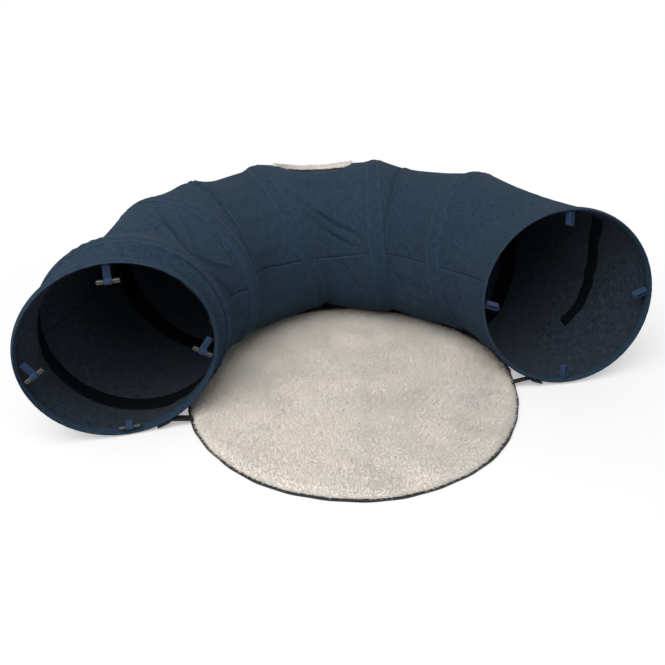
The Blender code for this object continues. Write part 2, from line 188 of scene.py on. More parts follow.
class Hoop:
    """One hoop: its centre, its outward and upward directions and its axis, which points along the tunnel."""

    def __init__(self, number: int) -> None:
        """Work out the hoop's place.

        Args:
            number: The hoop's number, from 1 at the left mouth to 7 at the right one.
        """
        self.number = number
        self.body = f"hoop_{number}"
        self.at_mouth = number in (1, len(SIZES.places))
        self.half_width = SIZES.hem_half_width if self.at_mouth else SIZES.channel_half_width
        place = SIZES.places[number - 1]
        on_ring = math.radians(place.angle)
        angle = on_ring + math.radians(place.turn)
        lean = math.radians(place.lean)
        along = np.array((math.cos(angle), -math.sin(angle), 0.0))
        upright = np.array((0.0, 0.0, 1.0))
        self.radial = np.array((math.sin(angle), math.cos(angle), 0.0))
        self.up = upright * math.cos(lean) + along * math.sin(lean)
        self.axis = along * math.cos(lean) - upright * math.sin(lean)
        self.wide = 1.0 + place.flat_share
        self.high = 1.0 - place.flat_share
        out = SIZES.ring_radius * (1.0 + place.out_share)
        crown_height = SIZES.tunnel_radius * self.high * math.cos(lean)
        edge_rise = self.half_width * abs(math.sin(lean))
        height = max(crown_height, SIZES.panel_radius * self.high * math.cos(lean) + edge_rise)
        self.centre = np.array((out * math.sin(on_ring), out * math.cos(on_ring), height))

    def directions(self, angles: Array) -> Array:
        """The ways out from the centre at some angles, each 1 long on a round hoop."""
        turn = np.radians(np.asarray(angles, dtype=float))[..., None]
        return self.radial * (self.wide * np.cos(turn)) + self.up * (self.high * np.sin(turn))

    def points(self, angles: Array, radius: Array | float, offset: Array | float = 0.0) -> Array:
        """Points round the hoop.

        Args:
            angles: Angles round the hoop.
            radius: Their distance from its centre.
            offset: How far they are moved along its axis.

        Returns:
            An array with one point for each angle.
        """
        radius = np.asarray(radius, dtype=float)[..., None]
        offset = np.asarray(offset, dtype=float)[..., None]
        return self.centre + self.directions(angles) * radius + self.axis * offset


HOOPS = [Hoop(number + 1) for number in range(len(SIZES.places))]


class NodeTree:
    """A tree of nodes, with short ways to add and join them."""

    def __init__(self, tree: bpy.types.NodeTree) -> None:
        """Hold the tree."""
        self.nodes, self.links = tree.nodes, tree.links

    def add(self, kind: str, inputs: dict | None = None, **settings: object) -> Node:
        """Add a node.

        Args:
            kind: The node's type name, which may leave out a ShaderNode start.
            inputs: Its inputs by name or number, each a value or another node's output.
            settings: Its other properties.

        Returns:
            The new node.
        """
        node = self.nodes.new(kind if "Node" in kind else "ShaderNode" + kind)
        for word, value in settings.items():
            setattr(node, word, value)
        for word, value in (inputs or {}).items():
            self.feed(node.inputs[word], value)
        return node

    def feed(self, socket: NodeSocket, value: object) -> None:
        """Give a socket a value, or join it to an output."""
        if isinstance(value, NodeSocket):
            self.links.new(value, socket)
        else:
            socket.default_value = value

    def vector(self, operation: str, first: object, second: object) -> NodeSocket:
        """The result of a Vector Math node on two vectors or colours."""
        return self.add("VectorMath", {0: first, 1: second}, operation=operation).outputs[0]

    def scaled(self, vector: object, scale: object) -> NodeSocket:
        """A vector or colour times a number."""
        return self.add("VectorMath", {0: vector, "Scale": scale}, operation="SCALE").outputs[0]


class Graph(NodeTree):
    """The nodes of a material or the world."""

    def __init__(self, owner: Material | bpy.types.World) -> None:
        """Open the nodes of a new material or world."""
        owner.use_nodes = True
        super().__init__(owner.node_tree)
        self.owner = owner

    @property
    def shader(self) -> Node:
        """The material's Principled shader."""
        return self.nodes["Principled BSDF"]

    def math(self, operation: str, first: object, second: object = 0.0) -> NodeSocket:
        """The result of a Math node on two values."""
        return self.add("Math", {0: first, 1: second}, operation=operation).outputs[0]

    def noise(self, vector: object, scale: float, detail: float = 2.0, roughness: float = 0.5) -> NodeSocket:
        """Noise from 0 to 1, about 0.5 on average, at a scale in blobs a metre."""
        inputs = {"Vector": vector, "Scale": scale, "Detail": detail, "Roughness": roughness}
        return self.add("TexNoise", inputs).outputs[0]

    def around_one(self, value: object, swing: float) -> NodeSocket:
        """Turn a value about 0.5 into one about 1 that swings by a share each way."""
        centred = self.math("SUBTRACT", value, 0.5)
        return self.math("ADD", self.math("MULTIPLY", centred, 2.0 * swing), 1.0)

    def seen(self) -> NodeSocket:
        """1 for the rays that see the white studio: those of the camera, of gloss and of transmission."""
        rays = self.add("LightPath").outputs
        other = self.math("MAXIMUM", rays["Is Glossy Ray"], rays["Is Transmission Ray"])
        return self.math("MAXIMUM", rays["Is Camera Ray"], other)

    def show(self, share: object, first: Node, second: Node, output: str) -> None:
        """Join a mix of two shaders to the surface of an output node."""
        mix = self.add("MixShader", {0: share, 1: first.outputs[0], 2: second.outputs[0]})
        self.links.new(mix.outputs[0], self.nodes[output].inputs["Surface"])

    def mixed(self, share: object, first: object, second: object) -> NodeSocket:
        """A colour between two colours."""
        node = self.add("Mix", {"Factor": share}, data_type="RGBA")
        self.feed(node.inputs[6], first)
        self.feed(node.inputs[7], second)
        return node.outputs[2]

    def bump(self, height: object, depth: float, strength: float = 1.0) -> None:
        """Raise the surface by a height from 0 to 1 times a depth."""
        node = self.add("Bump", {"Height": height, "Distance": depth, "Strength": strength})
        self.links.new(node.outputs[0], self.shader.inputs["Normal"])

    def finish(self, colour: object, **values: float) -> Material:
        """Set the shader's colour and its constant values, whose names have _ for spaces, and give the material."""
        self.feed(self.shader.inputs["Base Color"], colour)
        for word, value in values.items():
            self.shader.inputs[word.replace("_", " ")].default_value = value
        return self.owner


@dataclass(frozen=True)
class WovenCloth:
    """Plain-woven polyester of two-tone yarns, on the cloth's own flat map."""

    name: str = "navy_cloth"
    colour: tuple[float, float, float] = (0.0235, 0.0470, 0.0780)
    yarn_width: float = 0.0016
    yarn_length: float = 0.011
    melange: float = 0.55
    fade: float = 0.10
    weave_pitch: float = 0.0007
    relief: float = 0.0005
    weave_share: float = 0.3
    fade_scale: float = 11.0
    roughness: float = 0.9
    sheen: float = 0.02
    shine: float = 0.1

    def build(self) -> Material:
        """Make the material: yarns that differ in tone along and across, faded patches and a fine weave."""
        graph = Graph(bpy.data.materials.new(self.name))
        flat = graph.add("UVMap", uv_map=FLAT_MAP).outputs[0]
        place = graph.add("TexCoord").outputs["Object"]
        fine, long = 1.0 / self.yarn_width, 1.0 / self.yarn_length
        warp = graph.noise(graph.vector("MULTIPLY", flat, (fine, long, 1.0)), 1.0, 1.0)
        weft = graph.noise(graph.vector("MULTIPLY", flat, (long, fine, 1.0)), 1.0, 1.0)
        yarns = graph.math("MULTIPLY", graph.math("ADD", warp, weft), 0.5)
        faded = graph.around_one(graph.noise(place, self.fade_scale, 3.0), self.fade)
        tone = graph.math("MULTIPLY", graph.around_one(yarns, 2.0 * self.melange), faded)
        turns = TURN / self.weave_pitch
        across = graph.add("SeparateXYZ", {0: graph.scaled(flat, turns)})
        over = graph.math("MULTIPLY", graph.math("SINE", across.outputs[0]), graph.math("SINE", across.outputs[1]))
        height = graph.math("ADD", graph.math("MULTIPLY", over, self.weave_share), yarns)
        graph.bump(height, self.relief)
        return graph.finish(graph.scaled(self.colour, tone), Roughness=self.roughness,
                            Sheen_Weight=self.sheen, Sheen_Roughness=0.45, Specular_IOR_Level=self.shine)


@dataclass(frozen=True)
class Pile:
    """Soft plush fibre, warm grey with cooler patches of painted shade where the nap turns."""

    name: str = "grey_plush"
    colour: tuple[float, float, float] = (0.740, 0.690, 0.630)
    # The colour of the painted shade where the nap turns.
    nap_shade: tuple[float, float, float] = (0.685, 0.655, 0.615)
    swirl: tuple[float, float, float] = (0.55, 1.0, 1.0)
    nap_scale: float = 16.0
    lock_scale: float = 420.0
    fibre_scale: float = 900.0
    fibre_relief: float = 0.0008
    sheen: float = 0.1
    shine: float = 0.1

    def build(self) -> Material:
        """Make the material: broad cooler patches of painted shade where the nap turns, and a fine variation from lock
        to lock.
        """
        graph = Graph(bpy.data.materials.new(self.name))
        place = graph.add("TexCoord").outputs["Object"]
        swirled = graph.vector("MULTIPLY", place, self.swirl)
        patch = graph.noise(swirled, self.nap_scale, 4.0, 0.6)
        share = graph.add("MapRange", {"Value": patch, "From Min": 0.42, "From Max": 0.68}).outputs[0]
        colour = graph.mixed(share, (*self.colour, 1.0), (*self.nap_shade, 1.0))
        locks = graph.around_one(graph.noise(place, self.lock_scale, 2.0), 0.05)
        graph.bump(graph.noise(place, self.fibre_scale, 3.0), self.fibre_relief, 0.6)
        return graph.finish(graph.scaled(colour, locks), Roughness=0.95, Sheen_Weight=self.sheen,
                            Sheen_Roughness=0.5, Specular_IOR_Level=self.shine)


@dataclass(frozen=True)
class RibbedTape:
    """Narrow woven tape: cross ribs and a slight change of tone along it, on its own flat map."""

    name: str
    colour: tuple[float, float, float]
    rib_pitch: float = 0.0012
    grain_scale: float = 700.0
    tone_swing: float = 0.12
    relief: float = 0.0002
    roughness: float = 0.8
    sheen: float = 0.1
    shine: float = 0.3

    def build(self) -> Material:
        """Make the material: ribs across the tape, each split in two by a lighter middle row."""
        graph = Graph(bpy.data.materials.new(self.name))
        flat = graph.add("UVMap", uv_map=FLAT_MAP).outputs[0]
        turns = TURN / self.rib_pitch
        parts = graph.add("SeparateXYZ", {0: graph.scaled(flat, turns)})
        slant = graph.math("ADD", parts.outputs[1], graph.math("ABSOLUTE", graph.math("SINE", parts.outputs[0])))
        rib = graph.math("ADD", graph.math("MULTIPLY", graph.math("SINE", slant), 0.5), 0.5)
        grain = graph.noise(flat, self.grain_scale, 2.0)
        tone = graph.math("MULTIPLY", graph.around_one(rib, self.tone_swing), graph.around_one(grain, self.tone_swing))
        graph.bump(rib, self.relief)
        return graph.finish(graph.scaled(self.colour, tone), Roughness=self.roughness, Sheen_Weight=self.sheen,
                            Specular_IOR_Level=self.shine)


@dataclass(frozen=True)
class Grained:
    """A finish of fine grain on the object's own coordinates, for felt, plastic, thread or metal."""

    name: str
    colour: tuple[float, float, float]
    grain_scale: float = 600.0
    tone_swing: float = 0.1
    relief: float = 0.0001
    roughness: float = 0.7
    metallic: float = 0.0
    sheen: float = 0.0
    # A lighter colour painted along the bar's rails as a highlight, where the mesh marks them.
    rail_highlight: tuple[float, float, float] | None = None

    def build(self) -> Material:
        """Make the material: grain in its tone and relief, and a painted highlight colour where the mesh's highlight
        attribute is set.
        """
        graph = Graph(bpy.data.materials.new(self.name))
        place = graph.add("TexCoord").outputs["Object"]
        grain = graph.noise(place, self.grain_scale, 3.0, 0.6)
        colour: object = self.colour
        if self.rail_highlight:
            highlight_share = graph.add("Attribute", attribute_name="rail_highlight").outputs["Fac"]
            share = graph.math("MULTIPLY", highlight_share, graph.around_one(grain, 0.5))
            colour = graph.mixed(share, (*self.colour, 1.0), (*self.rail_highlight, 1.0))
        graph.bump(grain, self.relief, 0.7)
        return graph.finish(graph.scaled(colour, graph.around_one(grain, self.tone_swing)),
                            Roughness=self.roughness, Metallic=self.metallic, Sheen_Weight=self.sheen)


class Finishes:
    """Every finish of the tunnel, built once."""

    def __init__(self) -> None:
        """Make all the finishes."""
        self.cloth = WovenCloth().build()
        self.cloth_back = WovenCloth("navy_cloth_back", (0.0225, 0.0315, 0.0455), melange=0.8).build()
        self.sleeve = WovenCloth("navy_sleeve", (0.0205, 0.0435, 0.0745), melange=0.45).build()
        self.binding = RibbedTape("black_binding", (0.0030, 0.0042, 0.0060), sheen=0.0, shine=0.05).build()
        # The thread's colour, a little lighter than the cloth's, is partly painted sheen.
        self.thread = Grained("navy_thread", (0.030, 0.052, 0.090), tone_swing=0.2, roughness=0.6, sheen=0.2).build()
        self.plush = Pile().build()
        self.base_cloth = Grained("black_base_cloth", (0.010, 0.010, 0.011), 900.0, 0.3, 0.0002, 0.9, sheen=0.1).build()
        self.wadding = Grained("white_wadding", (0.78, 0.78, 0.76), 250.0, 0.08, 0.0006, 1.0).build()
        self.hook_tape = Grained("black_hook_tape", (0.010, 0.010, 0.012), 1500.0, 0.4, 0.0004, 0.85).build()
        self.webbing = RibbedTape("blue_webbing", (0.011, 0.034, 0.090)).build()
        # The bar's lighter colour along its rails is a painted highlight.
        self.bar = Grained("moulded_bar", (0.012, 0.011, 0.010), 700.0, 0.15, 0.00005, 0.45,
                       rail_highlight=(0.11, 0.10, 0.08)).build()
        self.steel = Grained("spring_steel", (0.55, 0.55, 0.56), 500.0, 0.06, 0.00002, 0.32, metallic=1.0).build()


def link_mesh(name: str, mesh: Mesh) -> Object:
    """Put a mesh into the scene at the origin."""
    made = bpy.data.objects.new(name, mesh)
    bpy.context.scene.collection.objects.link(made)
    return made


def add_mesh(name: str, points: Array, faces: list[tuple[int, ...]], finishes: list[Material],
             flat: Array | None = None, outward: bool = False) -> Object:
    """Make a smooth mesh object at the origin.

    Args:
        name: The object's name.
        points: Its points, one row each.
        faces: Its faces, as tuples of point numbers.
        finishes: Its materials, in the order of their slots.
        flat: Each point's place on the flat cloth, for the cloth's own map.
        outward: Whether the normals of a closed mesh are worked out again.

    Returns:
        The new object, in the scene.
    """
    mesh = bpy.data.meshes.new(name)
    mesh.from_pydata(points.reshape(-1, 3).tolist(), [], faces)
    if flat is not None:
        layer = mesh.uv_layers.new(name=FLAT_MAP)
        corners = np.empty(len(mesh.loops), dtype=np.int32)
        mesh.loops.foreach_get("vertex_index", corners)
        layer.data.foreach_set("uv", flat.reshape(-1, 2)[corners].astype(np.float32).ravel())
    if outward:
        shape = bmesh.new()
        shape.from_mesh(mesh)
        bmesh.ops.recalc_face_normals(shape, faces=shape.faces)
        shape.to_mesh(mesh)
        shape.free()
    for finish in finishes:
        mesh.materials.append(finish)
    mesh.shade_smooth()
    mesh.update()
    LOG.info("made %s: %d points", name, len(mesh.vertices))
    return link_mesh(name, mesh)


def grid_faces(rows: int, columns: int, round_rows: bool = False, round_columns: bool = False) -> list[tuple[int, ...]]:
    """Quads of a grid of points that may close on itself either way."""
    faces = []
    for row in range(rows if round_rows else rows - 1):
        for column in range(columns if round_columns else columns - 1):
            after, beside = (row + 1) % rows, (column + 1) % columns
            faces.append((row * columns + column, row * columns + beside,
                          after * columns + beside, after * columns + column))
    return faces


def rod_faces(rows: int, sides: int) -> list[tuple[int, ...]]:
    """Faces of rings of points that make a rod closed at both ends."""
    ends = [tuple(range(sides)), tuple((rows - 1) * sides + side for side in range(sides))]
    return grid_faces(rows, sides, round_columns=True) + ends


def copied_faces(piece: Object, name: str, kept: Callable[[bmesh.types.BMFace], bool]) -> Object:
    """Copy some faces of a piece.

    Args:
        piece: The piece.
        name: The copy's name.
        kept: Whether a face belongs to the copy.

    Returns:
        The new object, in the scene.
    """
    shape = bmesh.new()
    shape.from_mesh(piece.data)
    shape.normal_update()
    bmesh.ops.delete(shape, geom=[face for face in shape.faces if not kept(face)], context="FACES")
    mesh = bpy.data.meshes.new(name)
    shape.to_mesh(mesh)
    shape.free()
    return link_mesh(name, mesh)


def lift_above(piece: Object, height: float) -> None:
    """Bring the points of a piece that lie lower up to a height."""
    points = np.empty(len(piece.data.vertices) * 3, dtype=np.float32)
    piece.data.vertices.foreach_get("co", points)
    points[2::3] = np.maximum(points[2::3], height)
    piece.data.vertices.foreach_set("co", points)
    piece.data.update()


def add_modifier(piece: Object, kind: str, **settings: object) -> None:
    """Add a modifier with its settings."""
    modifier = piece.modifiers.new(kind.title(), kind)
    for word, value in settings.items():
        setattr(modifier, word, value)


class NodeMaker(NodeTree):
    """A Geometry Nodes tree that is run on an object and turned into a plain mesh."""

    def __init__(self, name: str) -> None:
        """Start a tree with a geometry input and output."""
        self.tree = bpy.data.node_groups.new(name, "GeometryNodeTree")
        super().__init__(self.tree)
        for way in ("INPUT", "OUTPUT"):
            self.tree.interface.new_socket("Geometry", in_out=way, socket_type="NodeSocketGeometry")
        self.given = self.add("NodeGroupInput").outputs["Geometry"]
        self.result = self.add("NodeGroupOutput").inputs["Geometry"]

    def end(self, spots: Node, instance: Node, way: NodeSocket, scale: object,
            finish: Material) -> None:
        """End the tree with real, smooth copies of an instance.

        Args:
            spots: The node that gives the points.
            instance: The node that gives what is laid at each.
            way: Where the instance's Z axis points.
            scale: Its size, a value or an output.
            finish: Its material.
        """
        turned = self.add("FunctionNodeAlignRotationToVector", {"Vector": way}, axis="Z")
        laid = self.add("GeometryNodeInstanceOnPoints", {
            "Points": spots.outputs["Points"], "Instance": instance.outputs[0], "Rotation": turned.outputs[0],
            "Scale": scale})
        real = self.add("GeometryNodeRealizeInstances", {"Geometry": laid.outputs[0]})
        smooth = self.add("GeometryNodeSetShadeSmooth", {"Geometry": real.outputs[0]})
        dressed = self.add("GeometryNodeSetMaterial", {"Geometry": smooth.outputs[0], "Material": finish})
        self.feed(self.result, dressed.outputs[0])

    def run(self, piece: Object) -> Object:
        """Run the tree on a piece, whose mesh becomes the plain result."""
        piece.modifiers.new("maker", "NODES").node_group = self.tree
        graph = bpy.context.evaluated_depsgraph_get()
        made = bpy.data.meshes.new_from_object(piece.evaluated_get(graph))
        old = piece.data
        piece.modifiers.clear()
        piece.data = made
        made.name = piece.name
        bpy.data.meshes.remove(old)
        LOG.info("grew %s: %d faces", piece.name, len(made.polygons))
        return piece


class StitchMaker(NodeMaker):
    """Rows of stitches along the edges of a mesh of lines."""

    pitch, radius, half_length = 0.0034, 0.0003, 0.0013

    def __init__(self, thread: Material) -> None:
        """Build the tree: even points on each line, with a small spindle laid along it at each."""
        super().__init__("stitches")
        lines = self.add("GeometryNodeMeshToCurve", {"Mesh": self.given})
        spots = self.add("GeometryNodeCurveToPoints", {"Curve": lines.outputs[0], "Length": self.pitch}, mode="LENGTH")
        spindle = self.add("GeometryNodeMeshUVSphere", {"Segments": 5, "Rings": 3, "Radius": 1.0})
        self.end(spots, spindle, spots.outputs["Tangent"], (self.radius, self.radius, self.half_length), thread)

    def sew(self, name: str, rows: list[Array], closed: bool) -> Object:
        """Sew rows of stitches.

        Args:
            name: The stitches' name.
            rows: The points that each row runs through.
            closed: Whether the rows close on themselves.

        Returns:
            The stitches as one object.
        """
        count = len(rows[0])
        edges = [(row * count + step, row * count + (step + 1) % count)
                 for row in range(len(rows)) for step in range(count if closed else count - 1)]
        mesh = bpy.data.meshes.new("lines")
        mesh.from_pydata(np.concatenate(rows).tolist(), edges, [])
        return self.run(link_mesh(name, mesh))


@dataclass(frozen=True)
class Nap:
    """How a pile grows: its locks' length and radius, their number on a square metre, their steps and their lean."""

    length: float
    radius: float
    density: float
    steps: int
    lean: float
    seed: int


class PileMaker(NodeMaker):
    """Locks of pile that stand on a surface and lean with the nap."""

    nap_middle = (0.93, 1.0, 1.0)
    broad_scale, fine_scale = 19.0, 260.0
    shortest, longest = 0.6, 1.15

    def __init__(self, nap: Nap, finish: Material) -> None:
        """Build the tree: random points on the faces, with a thin cone at each that leans by a broad noise."""
        super().__init__("pile")
        spots = self.add("GeometryNodeDistributePointsOnFaces", {
            "Mesh": self.given, "Density": nap.density, "Seed": nap.seed}, distribute_method="RANDOM")
        place = self.add("GeometryNodeInputPosition").outputs[0]
        broad = self.add("TexNoise", {"Vector": place, "Scale": self.broad_scale, "Detail": 2.0})
        fine = self.add("TexNoise", {"Vector": place, "Scale": self.fine_scale, "Detail": 1.0})
        both = self.vector("ADD", broad.outputs["Color"], fine.outputs["Color"])
        pushed = self.scaled(self.vector("SUBTRACT", both, self.nap_middle), nap.lean)
        way = self.vector("ADD", pushed, spots.outputs["Normal"])
        lock = self.add("GeometryNodeMeshCone", {
            "Vertices": 3, "Side Segments": nap.steps, "Radius Top": 0.0, "Radius Bottom": nap.radius,
            "Depth": nap.length}, fill_type="NONE")
        scale = self.add("FunctionNodeRandomValue", {2: self.shortest, 3: self.longest, "Seed": nap.seed},
                         data_type="FLOAT")
        self.end(spots, lock, way, scale.outputs[1], finish)


@dataclass(frozen=True)
class Crease:
    """A fold in the cloth of one span, along places that are each a share along and an angle.

    A depth above 0 presses a valley, which has a soft shoulder, and one below 0 lifts a ridge.
    """

    places: tuple[tuple[float, float], ...]
    depth: float
    width: float
    shoulder: float = 0.45
    end_share: float = 0.08

    def depths(self, along: Array, across: Array, length: float) -> Array:
        """How far the fold presses the cloth in.

        Args:
            along: How far along the span each point lies.
            across: How far round it.
            length: The span's length.

        Returns:
            The depth at each point, fading out towards both ends of the fold.
        """
        nodes = [np.array((share * length, SIZES.panel_radius * math.radians(angle)))
                 for share, angle in self.places]
        runs = [float(np.linalg.norm(end - start)) for start, end in zip(nodes, nodes[1:])]
        whole, gone = sum(runs), 0.0
        nearest = np.full(np.broadcast(along, across).shape, np.inf)
        signed, place = np.zeros(nearest.shape), np.zeros(nearest.shape)
        for start, end, run in zip(nodes, nodes[1:], runs):
            way = (end - start) / run
            along_run = (along - start[0]) * way[0] + (across - start[1]) * way[1]
            off = (along - start[0]) * way[1] - (across - start[1]) * way[0]
            held = np.clip(along_run, 0.0, run)
            away = np.hypot(off, along_run - held)
            closer = away < nearest
            nearest = np.where(closer, away, nearest)
            signed = np.where(closer, np.sign(off) * away, signed)
            place = np.where(closer, (gone + held) / whole, place)
            gone += run
        fade = np.sin(np.pi * (self.end_share + (1.0 - 2.0 * self.end_share) * place)) ** 0.6
        shape = hump(signed, 0.0, self.width)
        if self.depth > 0.0:
            shape = shape - self.shoulder * hump(signed, 2.0 * self.width, 1.3 * self.width)
        return self.depth * fade * shape


@dataclass(frozen=True)
class Press:
    """A broad place of a span where the cloth is pressed in, or stands out where the depth is below 0."""

    share: float
    angle: float
    depth: float
    share_reach: float
    angle_reach: float

    def depths(self, along: Array, across: Array, length: float) -> Array:
        """How far the cloth is pressed in at each point; the arguments are a crease's."""
        angles = np.degrees(across / SIZES.panel_radius)
        return (self.depth * hump(along / length, self.share, self.share_reach)
                * hump(angles, self.angle, self.angle_reach))


# The creases and presses of each span.
FOLDS = {
    1: (Crease(((0.2, 60), (0.6, 95), (0.4, 130)), 0.0016, 0.004),),
    2: (Crease(((1.0, 60), (0.88, 69), (0.71, 85), (0.58, 100), (0.42, 111), (0.22, 121), (0.0, 128)),
               -0.0080, 0.0052),
        Crease(((0.98, 78), (0.82, 92), (0.68, 106), (0.5, 117), (0.3, 128)), 0.0066, 0.0056),
        Crease(((0.28, 62), (0.39, 77), (0.45, 87), (0.58, 101)), -0.0048, 0.0042),
        Crease(((0.05, 60), (0.16, 82), (0.2, 104)), 0.0022, 0.0045),
        Crease(((0.05, 126), (0.22, 131), (0.35, 139), (0.51, 146), (0.86, 153)), -0.0046, 0.0038),
        Crease(((1.0, 108), (0.97, 125), (0.94, 136), (0.94, 155), (0.95, 166)), 0.0072, 0.0034),
        Crease(((0.1, 152), (0.45, 166), (0.75, 184)), 0.0026, 0.006),
        Press(0.45, 66.0, 0.010, 0.28, 24)),
    3: (Crease(((0.37, 50), (0.36, 80), (0.34, 102), (0.26, 122), (0.16, 146), (0.03, 166)),
               0.0062, 0.0030),
        Press(0.34, 72.0, -0.009, 0.17, 26),
        Crease(((0.44, 70), (0.43, 104), (0.31, 136), (0.26, 158)), -0.0012, 0.004),
        Crease(((0.95, 96), (0.8, 122), (0.55, 142)), 0.0016, 0.006),
        Crease(((1.0, 136), (0.82, 154), (0.66, 162)), 0.0014, 0.005)),
    4: (Crease(((0.0, 112), (0.07, 120), (0.25, 136), (0.5, 147), (0.8, 154), (0.95, 160)), 0.0044, 0.0046),
        Crease(((0.12, 138), (0.22, 146), (0.45, 157), (0.76, 165)), 0.0038, 0.0042),
        Crease(((0.0, 104), (0.12, 106), (0.4, 116), (0.7, 118)), 0.0020, 0.006),
        Crease(((0.02, 140), (0.1, 152), (0.2, 164)), 0.0018, 0.003),
        Crease(((1.0, 108), (0.85, 120), (0.72, 136)), 0.0014, 0.005),
        Crease(((0.4, 176), (0.62, 196), (0.7, 214)), 0.0022, 0.006),
        Press(0.15, 228.0, -0.0050, 0.16, 26)),
    5: (Crease(((0.27, 62), (0.25, 82), (0.19, 120), (0.06, 147), (0.03, 168)), 0.0062, 0.0030),
        Crease(((0.9, 92), (0.7, 112), (0.42, 122)), 0.0015, 0.006),
        Crease(((0.98, 128), (0.8, 146), (0.55, 158)), 0.0018, 0.006),
        Crease(((0.1, 176), (0.3, 192), (0.42, 212)), 0.0022, 0.006),
        Crease(((0.7, 178), (0.75, 196), (0.66, 214)), 0.0018, 0.005)),
    6: (Crease(((0.04, 90), (0.2, 106), (0.3, 128)), 0.0020, 0.006),
        Crease(((0.3, 92), (0.55, 100), (0.8, 98)), 0.0014, 0.008),
        Crease(((0.1, 150), (0.24, 170), (0.34, 192), (0.5, 214)), 0.0020, 0.006),
        Crease(((0.4, 186), (0.62, 204), (0.72, 226)), 0.0018, 0.005),
        Crease(((0.85, 286), (0.7, 300), (0.6, 326)), 0.0026, 0.005),
        Crease(((0.95, 300), (0.8, 318), (0.74, 340)), 0.0020, 0.005),
        Crease(((0.9, 262), (0.7, 268), (0.5, 282)), 0.0018, 0.004),
        Press(0.13, 230.0, -0.0030, 0.12, 22)),
}

# How far the seam over the mat wanders off its angle, in degrees, at shares along some spans.
SEAM_SHIFTS = {
    3: ((0.1, -6.0), (0.26, -5.0), (0.7, -1.0), (1.0, -2.0)),
    4: ((0.04, 2.0), (0.36, 2.0), (0.69, -1.0), (1.0, -6.0)),
    5: ((0.0, -5.0), (0.3, -3.0), (0.63, -3.0), (1.0, -5.0)),
    6: ((0.0, -2.0), (0.23, -1.0), (0.51, -2.0), (0.89, -5.0)),
}
# The share of its sag that a span loses along its top, the angle where it loses most and how far round it reaches.
TAUT_TOPS = {3: 0.9}
TAUT_ANGLE, TAUT_REACH = 75.0, 45.0
# Where the cloth hangs out over the mat's edge between two hoops, and the share of its sag that it loses there.
HUNG = Press(0.5, 226.0, -0.0050, 0.45, 30.0)
HUNG_SPANS = (2, 3, 4, 5, 6)
HUNG_SHARE = 0.9


@dataclass
class Settling:
    """A cloth simulation that lets several sheets settle at the same time."""

    frames: int = 24
    quality: int = 6
    mass: float = 0.05
    air_damping: float = 1.0
    stretch_stiffness: float = 30.0
    shear_stiffness: float = 8.0
    sheets: list[Object] = field(default_factory=list)

    def add(self, name: str, points: Array, faces: list[tuple[int, ...]], held: Array, cut: Array,
            pressure: float = 0.0, gravity: float = 0.2, bending: float = 0.6) -> None:
        """Add a sheet.

        Args:
            name: The sheet's name.
            points: Its points before it settles.
            faces: Its faces.
            held: How firmly each point is held, from 0 to 1.
            cut: Its points as it was cut, whose lengths it takes.
            pressure: How hard it is blown up.
            gravity: The share of its weight that acts.
            bending: How stiff it is against bending.
        """
        sheet = add_mesh(name, points, faces, [])
        group = sheet.vertex_groups.new(name="held")
        for vertex, weight in enumerate(held.ravel()):
            if weight > SMALL:
                group.add([vertex], float(weight), "REPLACE")
        sheet.shape_key_add(name="Basis")
        key = sheet.shape_key_add(name="cut")
        key.data.foreach_set("co", cut.astype(np.float32).ravel())
        cloth = sheet.modifiers.new("Cloth", "CLOTH")
        settings = cloth.settings
        settings.quality = self.quality
        settings.mass = self.mass
        settings.air_damping = self.air_damping
        settings.tension_stiffness = settings.compression_stiffness = self.stretch_stiffness
        settings.shear_stiffness = self.shear_stiffness
        settings.bending_stiffness = bending
        settings.vertex_group_mass = group.name
        settings.rest_shape_key = sheet.data.shape_keys.key_blocks["cut"]
        settings.effector_weights.gravity = gravity
        if pressure:
            settings.use_pressure = True
            settings.uniform_pressure_force = pressure
        cloth.collision_settings.use_collision = False
        cloth.collision_settings.use_self_collision = False
        cloth.point_cache.frame_end = self.frames
        self.sheets.append(sheet)

    def run(self) -> dict[str, Array]:
        """Step through the frames, then take the sheets away.

        Returns:
            Each sheet's settled points by its name.
        """
        settled = {}
        scene = bpy.context.scene
        for number in range(1, self.frames + 1):
            scene.frame_set(number)
        graph = bpy.context.evaluated_depsgraph_get()
        for sheet in self.sheets:
            mesh = sheet.evaluated_get(graph).data
            points = np.empty(len(mesh.vertices) * 3, dtype=np.float32)
            mesh.vertices.foreach_get("co", points)
            settled[sheet.name] = points.reshape(-1, 3).astype(float)
        for sheet in self.sheets:
            bpy.data.objects.remove(sheet, do_unlink=True)
        scene.frame_set(1)
        LOG.info("settled %d sheets of cloth", len(settled))
        return settled


